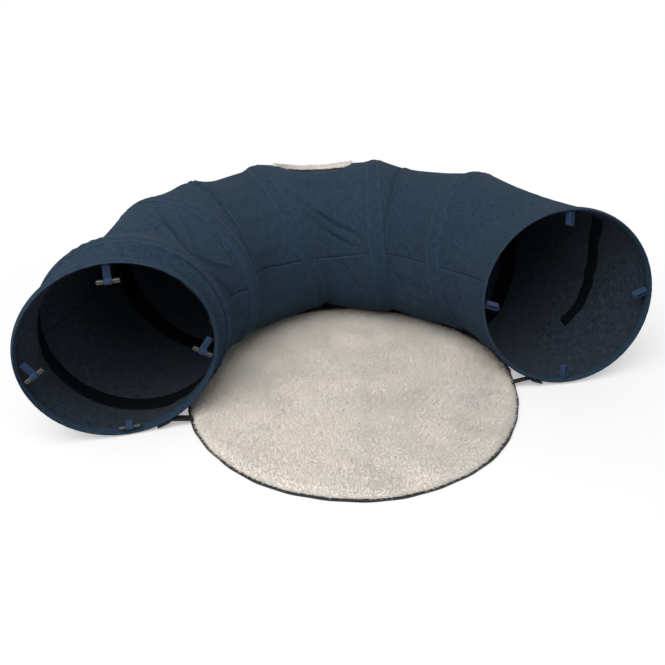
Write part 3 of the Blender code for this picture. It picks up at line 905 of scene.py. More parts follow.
@dataclass
class ClothSpan:
    """The cloth between two hoops: an upper and a lower panel that meet in two long seams."""

    number: int
    slack_share: float
    creases: tuple[Crease | Press, ...] = ()
    rows: int = 30
    columns: int = 144
    panel_step: float = 0.0023
    inner_columns: int = 150
    cap: float = 0.008
    gather_depth: float = 0.0007
    gather_reach: float = 0.013
    wrinkle_depth: float = 0.0009
    thickness: float = 0.0008
    tuck: float = 0.006
    tuck_depth: float = 0.0005
    seam_half: float = 0.0016
    seam_groove: float = 0.0013
    ridge_height: float = 0.0009
    outer_seam_share: float = 0.5
    wander_reach: float = 25.0
    stitch_steps: float = 3.2
    stitch_rise: float = 0.0002
    lap: float = 0.004

    def __post_init__(self) -> None:
        """Find the two hoops that the cloth runs between."""
        self.start_hoop = HOOPS[self.number - 1]
        self.end_hoop = HOOPS[self.number]
        self.moved = np.zeros((self.rows + 1, self.columns, 3))
        self.length = float(np.linalg.norm(self.end_hoop.centre - self.start_hoop.centre))
        self.has_peephole = self.number - 1 == SIZES.peephole_span

    def dip(self, shares: Array, angles: Array) -> Array:
        """How far the cloth hangs inside the straight line between its hoops, in its sag and main folds."""
        turn = np.radians(angles)
        window = np.sin(np.pi * np.clip(shares, 0.0, 1.0))
        slack = 1.0 - (1.0 - SIZES.bottom_sag_share) * np.maximum(0.0, -np.sin(turn))
        depth = SIZES.bunched_fold_depth if self.number <= 2 else SIZES.fold_depth
        twist = math.radians(SIZES.fold_twist) * (2.0 * shares + self.number - 1)
        fold = 0.5 + 0.5 * np.sin(SIZES.fold_count * turn + twist)
        dip = window * slack * (SIZES.cloth_sag + depth * fold)
        dip = dip * (1.0 - TAUT_TOPS.get(self.number, 0.0) * hump(angles, TAUT_ANGLE, TAUT_REACH))
        if self.number in HUNG_SPANS:
            dip = dip * (1.0 - HUNG_SHARE * hump(angles, HUNG.angle, HUNG.angle_reach))
        if self.has_peephole:
            half_angle = math.degrees(SIZES.peephole_half_width / SIZES.panel_radius)
            for side, slack_share in ((half_angle, SIZES.near_rim_slack_share),
                                      (-half_angle, SIZES.far_rim_slack_share)):
                dip = dip * (1.0 - (1.0 - slack_share) * hump(angles, SIZES.peephole_angle + side, half_angle))
        return dip

    def surface(self, shares: Array, angles: Array, depth: Array | float = 0.0) -> Array:
        """Points of the cloth before it settles.

        Args:
            shares: How far along the span each point lies, from 0 to 1, or beyond under the channels.
            angles: Each point's angle round the tunnel.
            depth: How far below the cloth's outer face each point lies.

        Returns:
            An array of points, one for each share and angle.
        """
        shares, angles = np.broadcast_arrays(np.asarray(shares, float), np.asarray(angles, float))
        radius = SIZES.panel_radius - depth - self.dip(shares, angles)
        start = self.start_hoop.points(angles, radius, self.start_hoop.half_width + SIZES.clearance)
        end = self.end_hoop.points(angles, radius, -self.end_hoop.half_width - SIZES.clearance)
        inner = np.clip(shares, 0.0, 1.0)[..., None]
        straight = start + (end - start) * inner
        start_turn, end_turn = (np.arctan2(ends[..., 0], ends[..., 1])[..., None] for ends in (start, end))
        turn = start_turn + (end_turn - start_turn) * inner
        start_reach, end_reach = (np.hypot(ends[..., 0], ends[..., 1])[..., None] for ends in (start, end))
        reach = start_reach * (1.0 - inner) + end_reach * inner
        curved = np.concatenate((reach * np.sin(turn), reach * np.cos(turn), straight[..., 2:]), axis=-1)
        outer = ((1.0 + np.cos(np.radians(angles))) / 2.0)[..., None]
        points = curved + (straight - curved) * outer
        before = np.minimum(shares, 0.0)[..., None] * self.length
        beyond = np.maximum(shares - 1.0, 0.0)[..., None] * self.length
        return points + self.start_hoop.axis * before + self.end_hoop.axis * beyond

    def outward(self, shares: Array, angles: Array) -> Array:
        """The ways out of the tunnel at some places of the cloth, each 1 long."""
        return unit(self.surface(shares, angles) - self.surface(shares, angles, SIZES.channel_crown))

    def middle_line(self) -> tuple[Array, Array]:
        """The point halfway between the two hoops, and the way along the tunnel there, 1 long."""
        middle = (self.start_hoop.centre + self.end_hoop.centre) / 2.0
        return middle, unit(self.start_hoop.axis + self.end_hoop.axis)

    def peephole_chord(self) -> float:
        """The straight length of the span at the peephole's angle."""
        ends = self.surface(np.array((0.0, 1.0)), SIZES.peephole_angle)
        return float(np.linalg.norm(ends[1] - ends[0]))

    def coarse_places(self) -> tuple[Array, Array]:
        """The shares and angles of the points that settle."""
        shares = np.linspace(0.0, 1.0, self.rows + 1)[:, None]
        return shares, (SIZES.seam_angle - 180.0 + steps_round(self.columns))[None, :]

    def from_peephole(self, shares: Array, angles: Array, widening: float = 0.0) -> Array:
        """How far places lie from the peephole's centre, 1 on an oval that is wider than the hole by a width."""
        along = (shares - 0.5) * self.peephole_chord() / (SIZES.peephole_half_length + widening)
        half_angle = math.degrees((SIZES.peephole_half_width + widening) / SIZES.panel_radius)
        return np.hypot(along, (angles - SIZES.peephole_angle) / half_angle)

    def hang(self, settling: Settling) -> None:
        """Hand the span's whole tube of cloth to the simulation, a little longer than the way between its hoops."""
        shares, angles = self.coarse_places()
        start = self.surface(shares, angles)
        middle, along = self.middle_line()
        from_middle = (start - middle) @ along
        cut = start + along * (from_middle * self.slack_share)[..., None]
        ripple = np.sin(shares * 47.0 + angles * 0.31) * np.sin(angles * 0.093 + 3.0 * self.number)
        ripple = (ripple * np.sin(np.pi * shares) * SIZES.clearance)[..., None]
        held = np.zeros(start.shape[:2])
        held[:1] = held[-1:] = 1.0
        if self.has_peephole:
            near = self.from_peephole(shares, angles, SIZES.facing_width + SIZES.channel_crown)
            held = np.maximum(held, np.clip((1.15 - near) / 0.15, 0.0, 1.0))
        faces = grid_faces(self.rows + 1, self.columns, round_columns=True)
        start = start + self.outward(shares, angles) * ripple
        settling.add(f"settling_span_{self.number}", start, faces, held, cut)

    def settle(self, settled: dict[str, Array]) -> None:
        """Take the simulation's result as a capped movement of each point."""
        moved = settled[f"settling_span_{self.number}"].reshape(self.moved.shape) - self.surface(*self.coarse_places())
        size = np.linalg.norm(moved, axis=-1, keepdims=True)
        self.moved = moved * (self.cap * np.tanh(size / self.cap) / np.maximum(size, SMALL))
        LOG.info("span %d moved by up to %.1f mm", self.number, float(size.max()) * 1000.0)

    def movement(self, shares: Array, angles: Array) -> Array:
        """The settled movement at any places of the span, between the simulated points."""
        column = ((angles - SIZES.seam_angle + 180.0) / 360.0 * self.columns) % self.columns
        return between(self.moved, np.clip(shares, 0.0, 1.0) * self.rows, column)

    def creased(self, shares: Array, angles: Array) -> Array:
        """How far the cloth is pressed in by its folds, its soft wrinkles and the gathers at its two ends."""
        turn = np.radians(angles)
        along, across = shares * self.length, SIZES.panel_radius * turn
        depth = self.gathered(shares, turn) + self.wrinkled(shares, turn)
        hung = (HUNG,) if self.number in HUNG_SPANS else ()
        for crease in (*self.creases, *hung):
            depth = depth + crease.depths(along, across, self.length)
        return depth * np.sin(np.pi * np.clip(shares, 0.0, 1.0)) ** 0.5

    def gathered(self, shares: Array, turn: Array) -> Array:
        """Small gathers that run from the stitching a little way into the cloth, in uneven waves round it."""
        depth = 0.0
        for end, share in ((0, shares), (1, 1.0 - shares)):
            phase = 1.7 * self.number + 2.9 * end
            wave = np.sin(43.0 * turn + phase + 2.2 * np.sin(6.0 * turn + phase))
            wave = wave + 0.6 * np.sin(71.0 * turn + 2.0 * phase + 1.8 * np.sin(9.0 * turn))
            reach = self.gather_reach * (1.0 + 0.5 * np.sin(13.0 * turn + phase))
            depth = depth + self.gather_depth * wave * np.exp(-share * self.length / reach)
        return depth

    def wrinkled(self, shares: Array, turn: Array) -> Array:
        """Broad soft wrinkles that run askew from hoop to hoop, in uneven waves round it."""
        phase = 2.3 * self.number
        skew = 1.9 * np.sin(3.0 * turn + phase) + 0.9 * (shares - 0.5) * np.sin(5.0 * turn - phase)
        wave = np.sin(17.0 * turn + 2.6 * shares + skew + phase)
        wave = wave + 0.7 * np.sin(26.0 * turn - 3.4 * shares + 1.3 * np.sin(4.0 * turn + 2.0 * phase))
        patch = 0.55 + 0.45 * np.sin(2.0 * turn + 4.0 * shares + phase)
        return self.wrinkle_depth * wave * patch

    def place(self, shares: Array, angles: Array, depth: Array | float = 0.0) -> Array:
        """Points of the finished cloth, settled and creased, at a depth below its outer face."""
        base = self.surface(shares, angles) + self.movement(shares, angles)
        made = base - self.outward(shares, angles) * (self.creased(shares, angles) + depth)[..., None]
        made[..., 2] = np.maximum(made[..., 2], self.thickness + SIZES.clearance)
        return made

    def wandered(self, shares: Array, angles: Array) -> Array:
        """Angles moved near the seam over the mat, which isn't sewn quite straight."""
        places = SEAM_SHIFTS.get(self.number, ((0.0, 0.0), (1.0, 0.0)))
        shift = np.interp(shares, *zip(*places))
        return angles + shift * hump(angles, SIZES.seam_angle, self.wander_reach)

    def seam_angles(self, side: Side) -> tuple[float, float]:
        """The angles of the two seams that a panel runs between."""
        start = SIZES.seam_angle - 180.0 if side is Side.UPPER else SIZES.seam_angle
        return start, start + 180.0

    def columns_of(self, side: Side) -> tuple[Array, Array]:
        """The angles of a panel's columns and how deep the cloth lies there because of the seams.

        Args:
            side: The panel.

        Returns:
            The angles, closer together at the seams, and the depths.
        """
        start, end = self.seam_angles(side)
        to_angle = SIZES.to_angle
        steps = np.array((0.0, 0.5, 1.0, 1.6, 2.4, 3.4)) * self.seam_half
        margin = 4.6 * self.seam_half * to_angle
        inner = np.linspace(start + margin, end - margin, self.inner_columns)
        angles = np.concatenate((start + steps * to_angle, inner, end - steps[::-1] * to_angle))
        from_seam = np.minimum(angles - start, end - angles) / to_angle / self.seam_half
        depth = self.seam_groove * hump(from_seam, 0.0, 1.0)
        if side is Side.LOWER:
            depth -= self.ridge_height * hump(from_seam, 2.0, 1.0)
        on_outer_seam = (angles < start + 90.0) if side is Side.UPPER else (angles > end - 90.0)
        depth = depth * np.where(on_outer_seam, self.outer_seam_share, 1.0)
        if side is Side.LOWER:
            tucked = self.lap * to_angle
            angles = np.concatenate(((start - tucked,), angles, (end + tucked,)))
            depth = np.concatenate(((depth[0] + self.thickness * 1.5,), depth, (depth[-1] + self.thickness * 1.5,)))
        return angles, depth

    def build_panel(self, side: Side, finishes: Finishes) -> None:
        """Make one panel, blended between its two hoops and cut round the peephole where it has one.

        Args:
            side: The panel.
            finishes: The tunnel's finishes.
        """
        with_hole = self.has_peephole and side is Side.UPPER
        angles, seam_depth = self.columns_of(side)
        tuck = self.tuck / self.length
        rows = max(16, round(self.mean_length() / self.panel_step))
        shares = np.concatenate(((-tuck,), np.linspace(0.0, 1.0, rows), (1.0 + tuck,)))
        shares, angles = np.meshgrid(shares, angles, indexing="ij")
        angles = self.wandered(shares, angles)
        under = np.where((shares < 0.0) | (shares > 1.0), self.tuck_depth, 0.0)
        faces = grid_faces(*shares.shape)
        if with_hole:
            faces, shares, angles = self.cut_hole(faces, shares, angles)
        points = self.place(shares, angles, under + seam_depth[None, :])
        across = angles * math.radians(1.0) * SIZES.panel_radius
        flat = np.stack((across, shares * self.length + self.number), axis=-1)
        name = f"{side.value}_cloth_{self.number}"
        panel = add_mesh(name, points, faces, [finishes.cloth, finishes.cloth_back], flat)
        add_modifier(panel, "SOLIDIFY", thickness=self.thickness, offset=-1.0, use_rim=True, material_offset=1,
                     material_offset_rim=0)
        if with_hole:
            self.drop_loose(panel)
        self.blend(panel)
        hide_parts(f"{side.value}_panel_{self.number}")
        length = self.mean_length() * (1.0 + self.slack_share / 2.0)

    def mean_length(self) -> float:
        """The cloth's mean length between its channels."""
        angles = steps_round(36)
        ends = self.surface(np.array((0.0, 1.0))[:, None], angles[None, :])
        return float(np.linalg.norm(ends[1] - ends[0], axis=-1).mean())

    def cut_hole(self, faces: list[tuple[int, ...]], shares: Array, angles: Array
                 ) -> tuple[list[tuple[int, ...]], Array, Array]:
        """Drop the faces inside the peephole and draw the edge that is left onto its oval.

        Args:
            faces: The panel's faces.
            shares: Each point's share along the span.
            angles: Each point's angle.

        Returns:
            The faces that are left, and the shares and angles with the hole's edge on the oval.
        """
        away = self.from_peephole(shares, angles).ravel()
        kept = [face for face in faces if sum(away[list(face)]) / len(face) > 1.0]
        dropped = {point for face in faces if sum(away[list(face)]) / len(face) <= 1.0 for point in face}
        edge = np.array(sorted({point for face in kept for point in face} & dropped))
        new_shares, new_angles = shares.ravel().copy(), angles.ravel().copy()
        new_shares[edge] = 0.5 + (new_shares[edge] - 0.5) / away[edge]
        new_angles[edge] = SIZES.peephole_angle + (new_angles[edge] - SIZES.peephole_angle) / away[edge]
        return kept, new_shares.reshape(shares.shape), new_angles.reshape(angles.shape)

    @staticmethod
    def drop_loose(panel: Object) -> None:
        """Delete the points that no face uses."""
        shape = bmesh.new()
        shape.from_mesh(panel.data)
        bmesh.ops.delete(shape, geom=[vertex for vertex in shape.verts if not vertex.link_faces], context="VERTS")
        shape.to_mesh(panel.data)
        shape.free()

    def blend(self, piece: Object) -> None:
        """Bake a piece's place into its mesh; the rings at both hoops that it works out go unused."""
        angles = steps_round(72)
        first = self.start_hoop.points(angles, SIZES.panel_radius, self.start_hoop.half_width)
        last = self.end_hoop.points(angles, SIZES.panel_radius, -self.end_hoop.half_width)
        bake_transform(piece)

    def build_stitches(self, maker: StitchMaker) -> None:
        """Sew a row of stitches along the lower side of each seam."""
        shares = np.linspace(0.0, 1.0, 60)
        beside = self.stitch_steps * self.seam_half * SIZES.to_angle
        rows = []
        for seam, side in ((SIZES.seam_angle, 1.0), (SIZES.seam_angle - 180.0, -1.0)):
            angle = self.wandered(shares, np.full_like(shares, seam + side * beside))
            rows.append(self.place(shares, angle, -self.stitch_rise))
        piece = maker.sew(f"seam_stitching_{self.number}", rows, False)
        self.blend(piece)


@dataclass
class HoopSleeve:
    """A hoop's channel: the sewn outer sleeve over the wire, its black inner tape and its rows of stitches."""

    hoop: Hoop
    stations: int = 264
    sleeve_thickness: float = 0.0007
    tape_thickness: float = 0.0007
    edge_rise: float = 0.0007
    pucker: float = 0.00035
    stitch_inset: float = 0.0016
    stitch_gap: float = 0.0030
    stitch_rise: float = 0.0001
    groove: float = 0.0005
    groove_half: float = 0.0007
    mouth_pucker_share: float = 0.3
    tape_reach: float = 0.0015
    tape_rise: float = 0.0004
    tape_edge_depth: float = 0.0016
    tape_wave: float = 0.00015

    def outer_radius(self, offsets: Array, angles: Array) -> Array:
        """The sleeve's outer radius at offsets across it and angles round it."""
        half = self.hoop.half_width
        edge = SIZES.panel_radius + self.edge_rise
        crown = SIZES.tunnel_radius - edge
        sharpness = 1.1 if self.hoop.at_mouth else 2.4
        arch = np.cos(np.pi / 2.0 * np.clip(np.abs(offsets) / half, 0.0, 1.0)) ** sharpness
        radius = edge + crown * arch
        for inset in self.stitch_insets():
            radius = radius - self.groove * hump(np.abs(offsets), half - inset, self.groove_half)
        turn = np.radians(angles)
        wave = np.sin(67.0 * turn + 2.0 * np.sin(9.0 * turn) + self.hoop.number)
        wave = wave + 0.7 * np.sin(41.0 * turn + 3.0 * np.sin(5.0 * turn) + np.sign(offsets))
        pucker = self.pucker * (self.mouth_pucker_share if self.hoop.at_mouth else 1.0)
        return radius + pucker * wave * (1.0 - arch) * np.abs(offsets) / half

    def stitch_insets(self) -> tuple[float, ...]:
        """How far in from each edge the rows of stitches run."""
        if self.hoop.at_mouth:
            return (self.stitch_inset,)
        return self.stitch_inset, self.stitch_inset + self.stitch_gap

    def ring(self, name: str, across: Array, top: Array, bottom: Array,
             finish: Material) -> Object:
        """Make a closed band round the hoop from its top and bottom radii at offsets across it."""
        angles = steps_round(self.stations)[:, None]
        offsets = np.concatenate((across, across[::-1]))
        points = self.hoop.points(angles, np.concatenate((top, bottom[:, ::-1]), axis=1), offsets)
        points[..., 2] = np.maximum(points[..., 2], 0.0)
        faces = grid_faces(self.stations, len(offsets), True, True)
        flat = np.stack(np.broadcast_arrays(SIZES.tunnel_radius * np.radians(angles), offsets), axis=-1)
        return add_mesh(name, points, faces, [finish], flat, outward=True)

    def build(self, maker: StitchMaker, finishes: Finishes) -> None:
        """Make the sleeve, the tape and the stitches, which all ride on the hoop."""
        number = self.hoop.number
        half = self.hoop.half_width
        angles = steps_round(self.stations)[:, None]
        across = np.sin(np.linspace(-np.pi / 2.0, np.pi / 2.0, 21)) * half
        top = self.outer_radius(across, angles)
        sleeve = self.ring(f"hoop_sleeve_{number}", across, top, top - self.sleeve_thickness, finishes.sleeve)
        node = f"mouth_hem_{number}" if self.hoop.at_mouth else f"hoop_channel_{number}"
        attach(sleeve, self.hoop.body)
        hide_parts(node)
        self.build_tape(finishes)
        self.build_stitches(maker)

    def build_tape(self, finishes: Finishes) -> None:
        """Make the tape that closes the sleeve on the inside."""
        number, half = self.hoop.number, self.hoop.half_width
        reach = half if self.hoop.at_mouth else half + self.tape_reach
        across = np.linspace(-reach, reach, 13)
        share = np.abs(across) / reach
        low = SIZES.tape_radius + self.tape_rise
        high = np.full(across.shape, SIZES.panel_radius - self.tape_edge_depth)
        if self.hoop.at_mouth:
            free_side = -1.0 if number == 1 else 1.0
            high = np.where(across * free_side > 0.0, SIZES.panel_radius + self.tape_rise, high)
        inner = low + (high - self.tape_thickness - low) * share ** 1.5
        angles = steps_round(self.stations)[:, None]
        wave = self.tape_wave * np.sin(np.radians(angles) * 53.0 + 2.0 * np.sin(np.radians(angles) * 7.0))
        inner = inner + wave * share
        finish = finishes.sleeve if self.hoop.at_mouth else finishes.binding
        tape = self.ring(f"hoop_tape_{number}", across, inner + self.tape_thickness, inner, finish)
        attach(tape, self.hoop.body)

    def build_stitches(self, maker: StitchMaker) -> None:
        """Sew the rows of stitches along both edges of the sleeve."""
        angles = steps_round(self.stations)
        rows = []
        for side in (-1.0, 1.0):
            for inset in self.stitch_insets():
                offset = np.full(self.stations, side * (self.hoop.half_width - inset))
                radius = self.outer_radius(offset, angles) + self.stitch_rise
                points = self.hoop.points(angles, radius, offset)
                points[:, 2] = np.maximum(points[:, 2], SIZES.clearance)
                rows.append(points)
        piece = maker.sew(f"hoop_stitching_{self.hoop.number}", rows, True)
        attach(piece, self.hoop.body)


@dataclass
class LiningBand:
    """The black binding that shows on the lining inside the right mouth."""

    span: ClothSpan
    places: tuple[tuple[float, float], ...] = ((0.845, 52.0), (0.78, 40.0), (0.70, 23.0), (0.66, 0.0), (0.625, -20.0),
                                               (0.59, -40.0), (0.545, -53.0))
    half_width: float = 0.0062
    thickness: float = 0.0006
    seam_height: float = 0.0028
    seam_reach: float = 3.5

    def build(self, finishes: Finishes) -> None:
        """Make the band as a thin closed strip under the cloth, blended with its span."""
        scale = np.array((self.span.length, SIZES.panel_radius * math.radians(1.0)))
        path = smooth_path(np.array(self.places) * scale, 6)
        way = unit(np.gradient(path, axis=0))
        side = np.stack((-way[:, 1], way[:, 0]), axis=-1)
        across = np.linspace(-1.0, 1.0, 7) * self.half_width
        spread = (path[:, None, :] + side[:, None, :] * across[None, :, None]) / scale
        outer_seam = SIZES.seam_angle - 180.0
        over_seam = self.seam_height * hump(spread[..., 1], outer_seam + 1.5, self.seam_reach, 4)
        depth = self.span.thickness + SIZES.clearance + over_seam
        angles = np.where(spread[..., 1] < outer_seam, spread[..., 1] + 360.0, spread[..., 1])
        layers = [self.span.place(spread[..., 0], angles, depth + extra) for extra in (0.0, self.thickness)]
        points = np.concatenate((layers[0], layers[1][:, ::-1]), axis=1)
        flat = flat_places(path, np.concatenate((across, across[::-1])))
        band = add_mesh("lining_band", points, rod_faces(*points.shape[:2]), [finishes.binding], flat, outward=True)
        self.span.blend(band)


@dataclass
class PeepholeFacing:
    """The plush edging round the peephole, which lines the roof and wraps the cut edge."""

    span: ClothSpan
    sides: int = 160
    section_points: int = 22
    half_thickness: float = 0.0030
    depth: float = 0.0056
    lip: float = 0.0085
    lip_rise: float = 0.0054
    nap: Nap = Nap(0.0026, 0.00055, 800000.0, 1, 1.3, 5)
    bare_angle: float = 7.0

    def points(self) -> Array:
        """The points of a padded ring whose inner lip rises to wrap the edge of the cloth."""
        turns = steps_round(self.sides, TURN)[:, None]
        around = steps_round(self.section_points, TURN)[None, :]
        far = np.clip((0.55 - np.sin(turns)) / 0.5, 0.0, 1.0)
        lip = self.lip * far
        half_width = (SIZES.facing_width + lip) / 2.0
        widening = half_width - lip + half_width * np.cos(around)
        lipped = np.where(widening < 0.0, 1.0 + widening / self.lip, 0.0) * far
        depth = self.depth + self.half_thickness * np.sin(around) - self.lip_rise * lipped
        half_share = (SIZES.peephole_half_length + widening) / self.span.peephole_chord()
        half_angle = np.degrees((SIZES.peephole_half_width + widening) / SIZES.panel_radius)
        shares = 0.5 + half_share * np.cos(turns)
        angles = SIZES.peephole_angle + half_angle * np.sin(turns)
        uneven = 0.0004 * np.sin(23.0 * turns + 3.0 * np.sin(around)) + 0.0003 * np.sin(9.0 * turns)
        return self.span.surface(shares, angles, depth + uneven)

    def build(self, finishes: Finishes) -> None:
        """Make the padded ring and its pile, blended between the hoops beside the peephole."""
        points = self.points()
        faces = grid_faces(self.sides, self.section_points, True, True)
        facing = add_mesh("peephole_plush", points, faces, [finishes.plush], outward=True)
        middle, near = self.span.surface(0.5, np.array((0.0, self.bare_angle)) + SIZES.peephole_angle)
        way = near - middle
        pile = copied_faces(facing, "peephole_pile",
                            lambda face: float(np.array(face.calc_center_median()) @ way) < float(near @ way))
        PileMaker(self.nap, finishes.plush).run(pile)
        for piece in (facing, pile):
            self.span.blend(piece)
        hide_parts("peephole_facing")


@dataclass
class PlushMat:
    """The mat: a flat black base cloth, wadding inside and a crowned plush cover.

    Each of reaches and shade tails is how far the cloth reaches out, the turn where it does so most, how far round
    that goes and how flat its top is. The tails and the back, side and raised lips widen the black base cloth as
    painted shade, a dark sheet where there is only shadow between the mat and the tunnel.
    """

    radius: float = 0.230
    shift: tuple[float, float] = (-0.008, 0.006)
    inset: float = 0.0022
    unevenness: float = 0.0012
    reaches: tuple[tuple[float, float, float, int], ...] = ((0.0045, 0.0, 45.0, 4), (0.0085, 62.0, 20.0, 2),
                                                            (0.004, -55.0, 22.0, 2))
    cover_reach_share: float = 0.8
    base_lip: float = 0.002
    # The base cloth's black edge is real; the lips and tails below widen it as painted shade, where only shadow lies.
    back_shade_lip: float = 0.004
    shade_tails: tuple[tuple[float, float, float, int], ...] = ((0.0115, 19.0, 41.0, 8), (0.0032, -9.0, 11.0, 8))
    side_shade_lip: float = 0.0065
    shade_rise: float = 0.0085
    base_thickness: float = 0.0012
    height: float = 0.0115
    edge_height: float = 0.0062
    shoulder: float = 1.35
    edge_share: float = 0.93
    top_share: float = 0.86
    foot_gap: float = 0.0004
    cut_share: float = 1.012
    sectors: int = 216
    rings: int = 44
    sim_sectors: int = 120
    sim_rings: int = 26
    cap: float = 0.0032
    naps: tuple[tuple[str, Nap], ...] = (("mat_pile", Nap(0.0044, 0.00052, 370000.0, 1, 1.5, 11)),
                                         ("mat_locks", Nap(0.0062, 0.00058, 110000.0, 2, 1.2, 12)))

    def __post_init__(self) -> None:
        """Start with no settled movement."""
        self.moved = np.zeros((self.sim_rings, self.sim_sectors))

    def outline(self, turns: Array) -> Array:
        """The cover's radius at some turns, slightly uneven as a soft edge is."""
        uneven = 0.5 * np.sin(5.0 * turns + 1.0) + 0.35 * np.sin(11.0 * turns) + 0.25 * np.sin(23.0 * turns + 2.0)
        return (self.radius - self.inset + self.unevenness * uneven
                + self.cover_reach_share * self.reach_back(turns, self.reaches))

    @staticmethod
    def reach_back(turns: Array, reaches: tuple[tuple[float, float, float, int], ...]) -> Array:
        """How much farther the cloth reaches at some turns, under the tunnel where the turn is near 0."""
        degrees = signed_degrees(turns)
        return sum(size * hump(degrees, middle, reach, power) for size, middle, reach, power in reaches)

    def at(self, radius: Array, turns: Array, height: Array | float) -> Array:
        """Points of the mat at a distance from its middle, a turn and a height."""
        return np.stack(np.broadcast_arrays(self.shift[0] + radius * np.sin(turns),
                                            self.shift[1] + radius * np.cos(turns), height), axis=-1)

    def cover(self, rings: int, sectors: int) -> Array:
        """Points of the cover's top, from its middle to its foot, as rings of sectors."""
        turns = steps_round(sectors, TURN)[None, :]
        along = np.linspace(0.0, 1.0, rings)[:, None]
        on_top = np.clip(along / self.top_share, 0.0, 1.0)
        over = np.clip((along - self.top_share) / (1.0 - self.top_share), 0.0, 1.0) * np.pi / 2.0
        radius = self.outline(turns) * (self.edge_share * on_top + (1.0 - self.edge_share) * np.sin(over))
        edge = self.edge_height * self.shoulder
        crown = self.height - (self.height - edge) * on_top ** 6
        return self.at(radius, turns, crown - (edge - self.base_thickness - self.foot_gap) * (1.0 - np.cos(over)))

    @staticmethod
    def disc_faces(rings: int, sectors: int) -> list[tuple[int, ...]]:
        """Faces of the cover's rings, whose first ring is one point."""
        faces = []
        for sector in range(sectors):
            beside = (sector + 1) % sectors
            faces.append((0, 1 + beside, 1 + sector))
            for ring in range(rings - 2):
                low = 1 + ring * sectors
                high = low + sectors
                faces.append((low + sector, low + beside, high + beside, high + sector))
        return faces

    @staticmethod
    def flatten(grid: Array) -> Array:
        """The points of a grid of rings with its first ring drawn into one point."""
        return np.concatenate((grid[:1, 0], grid[1:].reshape(-1, 3)))

    def hang(self, settling: Settling) -> None:
        """Hand the cover to the simulation, held at its foot and blown up from below by its wadding."""
        points = self.flatten(self.cover(self.sim_rings, self.sim_sectors))
        held = np.zeros(len(points))
        held[-2 * self.sim_sectors:] = 1.0
        middle = np.array((*self.shift, 0.0))
        cut = middle + (points - middle) * np.array((self.cut_share, self.cut_share, 1.0))
        faces = self.disc_faces(self.sim_rings, self.sim_sectors)
        points[:, 2] += self.foot_gap * np.sin(points[:, 0] * 61.0) * np.sin(points[:, 1] * 53.0 + 1.0)
        settling.add("settling_mat", points, faces, held, cut, pressure=2.0, gravity=0.0, bending=2.0)

    def settle(self, settled: dict[str, Array]) -> None:
        """Take the simulation's result as a capped upward movement of each point."""
        start = self.flatten(self.cover(self.sim_rings, self.sim_sectors))
        lift = (settled["settling_mat"] - start)[:, 2]
        LOG.info("mat moved by %.1f to %.1f mm", lift.min() * 1000.0, lift.max() * 1000.0)
        whole = np.concatenate((np.full(self.sim_sectors, lift[0]), lift[1:])).reshape(self.sim_rings, self.sim_sectors)
        uneven = whole - whole.mean(axis=1, keepdims=True)
        self.moved = self.cap * np.tanh(uneven / self.cap)

    def build(self, finishes: Finishes) -> None:
        """Make the base cloth, the plush cover and its pile, which all ride on the mat."""
        self.build_base(finishes)
        cover = self.build_cover(finishes)
        for name, nap in self.naps:
            pile = copied_faces(cover, name, lambda face: face.normal.z > -0.3)
            PileMaker(nap, finishes.plush).run(pile)
            lift_above(pile, self.base_thickness)
            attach(pile, "mat")
        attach(cover, "mat")
        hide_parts("mat_plush")

    def build_cover(self, finishes: Finishes) -> Object:
        """Make the crowned cover with its settled unevenness."""
        grid = self.cover(self.rings, self.sectors)
        edge = 1.0 - np.linspace(0.0, 1.0, self.rings)[:, None] ** 12
        ring = np.linspace(0.0, self.sim_rings - 1.0, self.rings)[:, None]
        grid[..., 2] += between(self.moved, ring, steps_round(self.sectors, self.sim_sectors)[None, :]) * edge
        place = grid[..., 0] * 71.0 + 2.0 * np.sin(grid[..., 1] * 37.0)
        grid[..., 2] += 0.0005 * np.sin(place) * np.sin(grid[..., 1] * 83.0 + 1.3 * np.sin(grid[..., 0] * 29.0)) * edge
        foot = grid[-1:] * np.array((1.0, 1.0, 0.0)) + np.array((0.0, 0.0, self.base_thickness + 0.0002))
        middle = np.array((*self.shift, 0.0))
        inner = middle + (foot - middle) * np.array((0.96, 0.96, 1.0))
        points = self.flatten(np.concatenate((grid, foot, inner)))
        faces = self.disc_faces(self.rings + 2, self.sectors)
        last = len(points) - self.sectors
        faces.append(tuple(last + sector for sector in range(self.sectors)))
        return add_mesh("mat_cover", points, faces, [finishes.plush], outward=True)

    def build_base(self, finishes: Finishes) -> None:
        """Make the base cloth, a thin disc whose edge shows all round the cover."""
        turns = steps_round(self.sectors, TURN)
        degrees = signed_degrees(turns)
        lip = self.radius + self.base_lip + 0.0006 * np.sin(9.0 * turns) + 0.0004 * np.sin(31.0 * turns)
        # Painted shade: the side lip, the tails, the back lip and the raised lip widen the black base cloth where only
        # shadow lies.
        side_shade = self.side_shade_lip + 0.0012 * np.sin(71.0 * turns) + 0.0009 * np.sin(113.0 * turns + 1.0)
        lip = lip + side_shade * hump(degrees, 66.0, 13.0, 4) + self.reach_back(turns, (*self.shade_tails, *self.reaches))
        lip = lip + self.back_shade_lip * np.clip(np.cos(1.3 * np.radians(degrees)), 0.0, 1.0) ** 0.4
        shade_rise = self.shade_rise * hump(degrees, -8.0, 7.5, 4)
        section = ((0.0035, 0.0, 0.0), (0.0002, 0.0001, 0.0), (0.0, 0.0016, 0.9), (0.0006, 0.0026, 1.0),
                   (0.0045, 0.0016, 0.0))
        rings = np.stack([self.at(lip - inset, turns, height + lifted * shade_rise)
                          for inset, height, lifted in section])
        base = add_mesh("mat_base_cloth", rings, rod_faces(len(rings), self.sectors), [finishes.base_cloth],
                        outward=True)
        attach(base, "mat")
        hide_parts("mat_base")


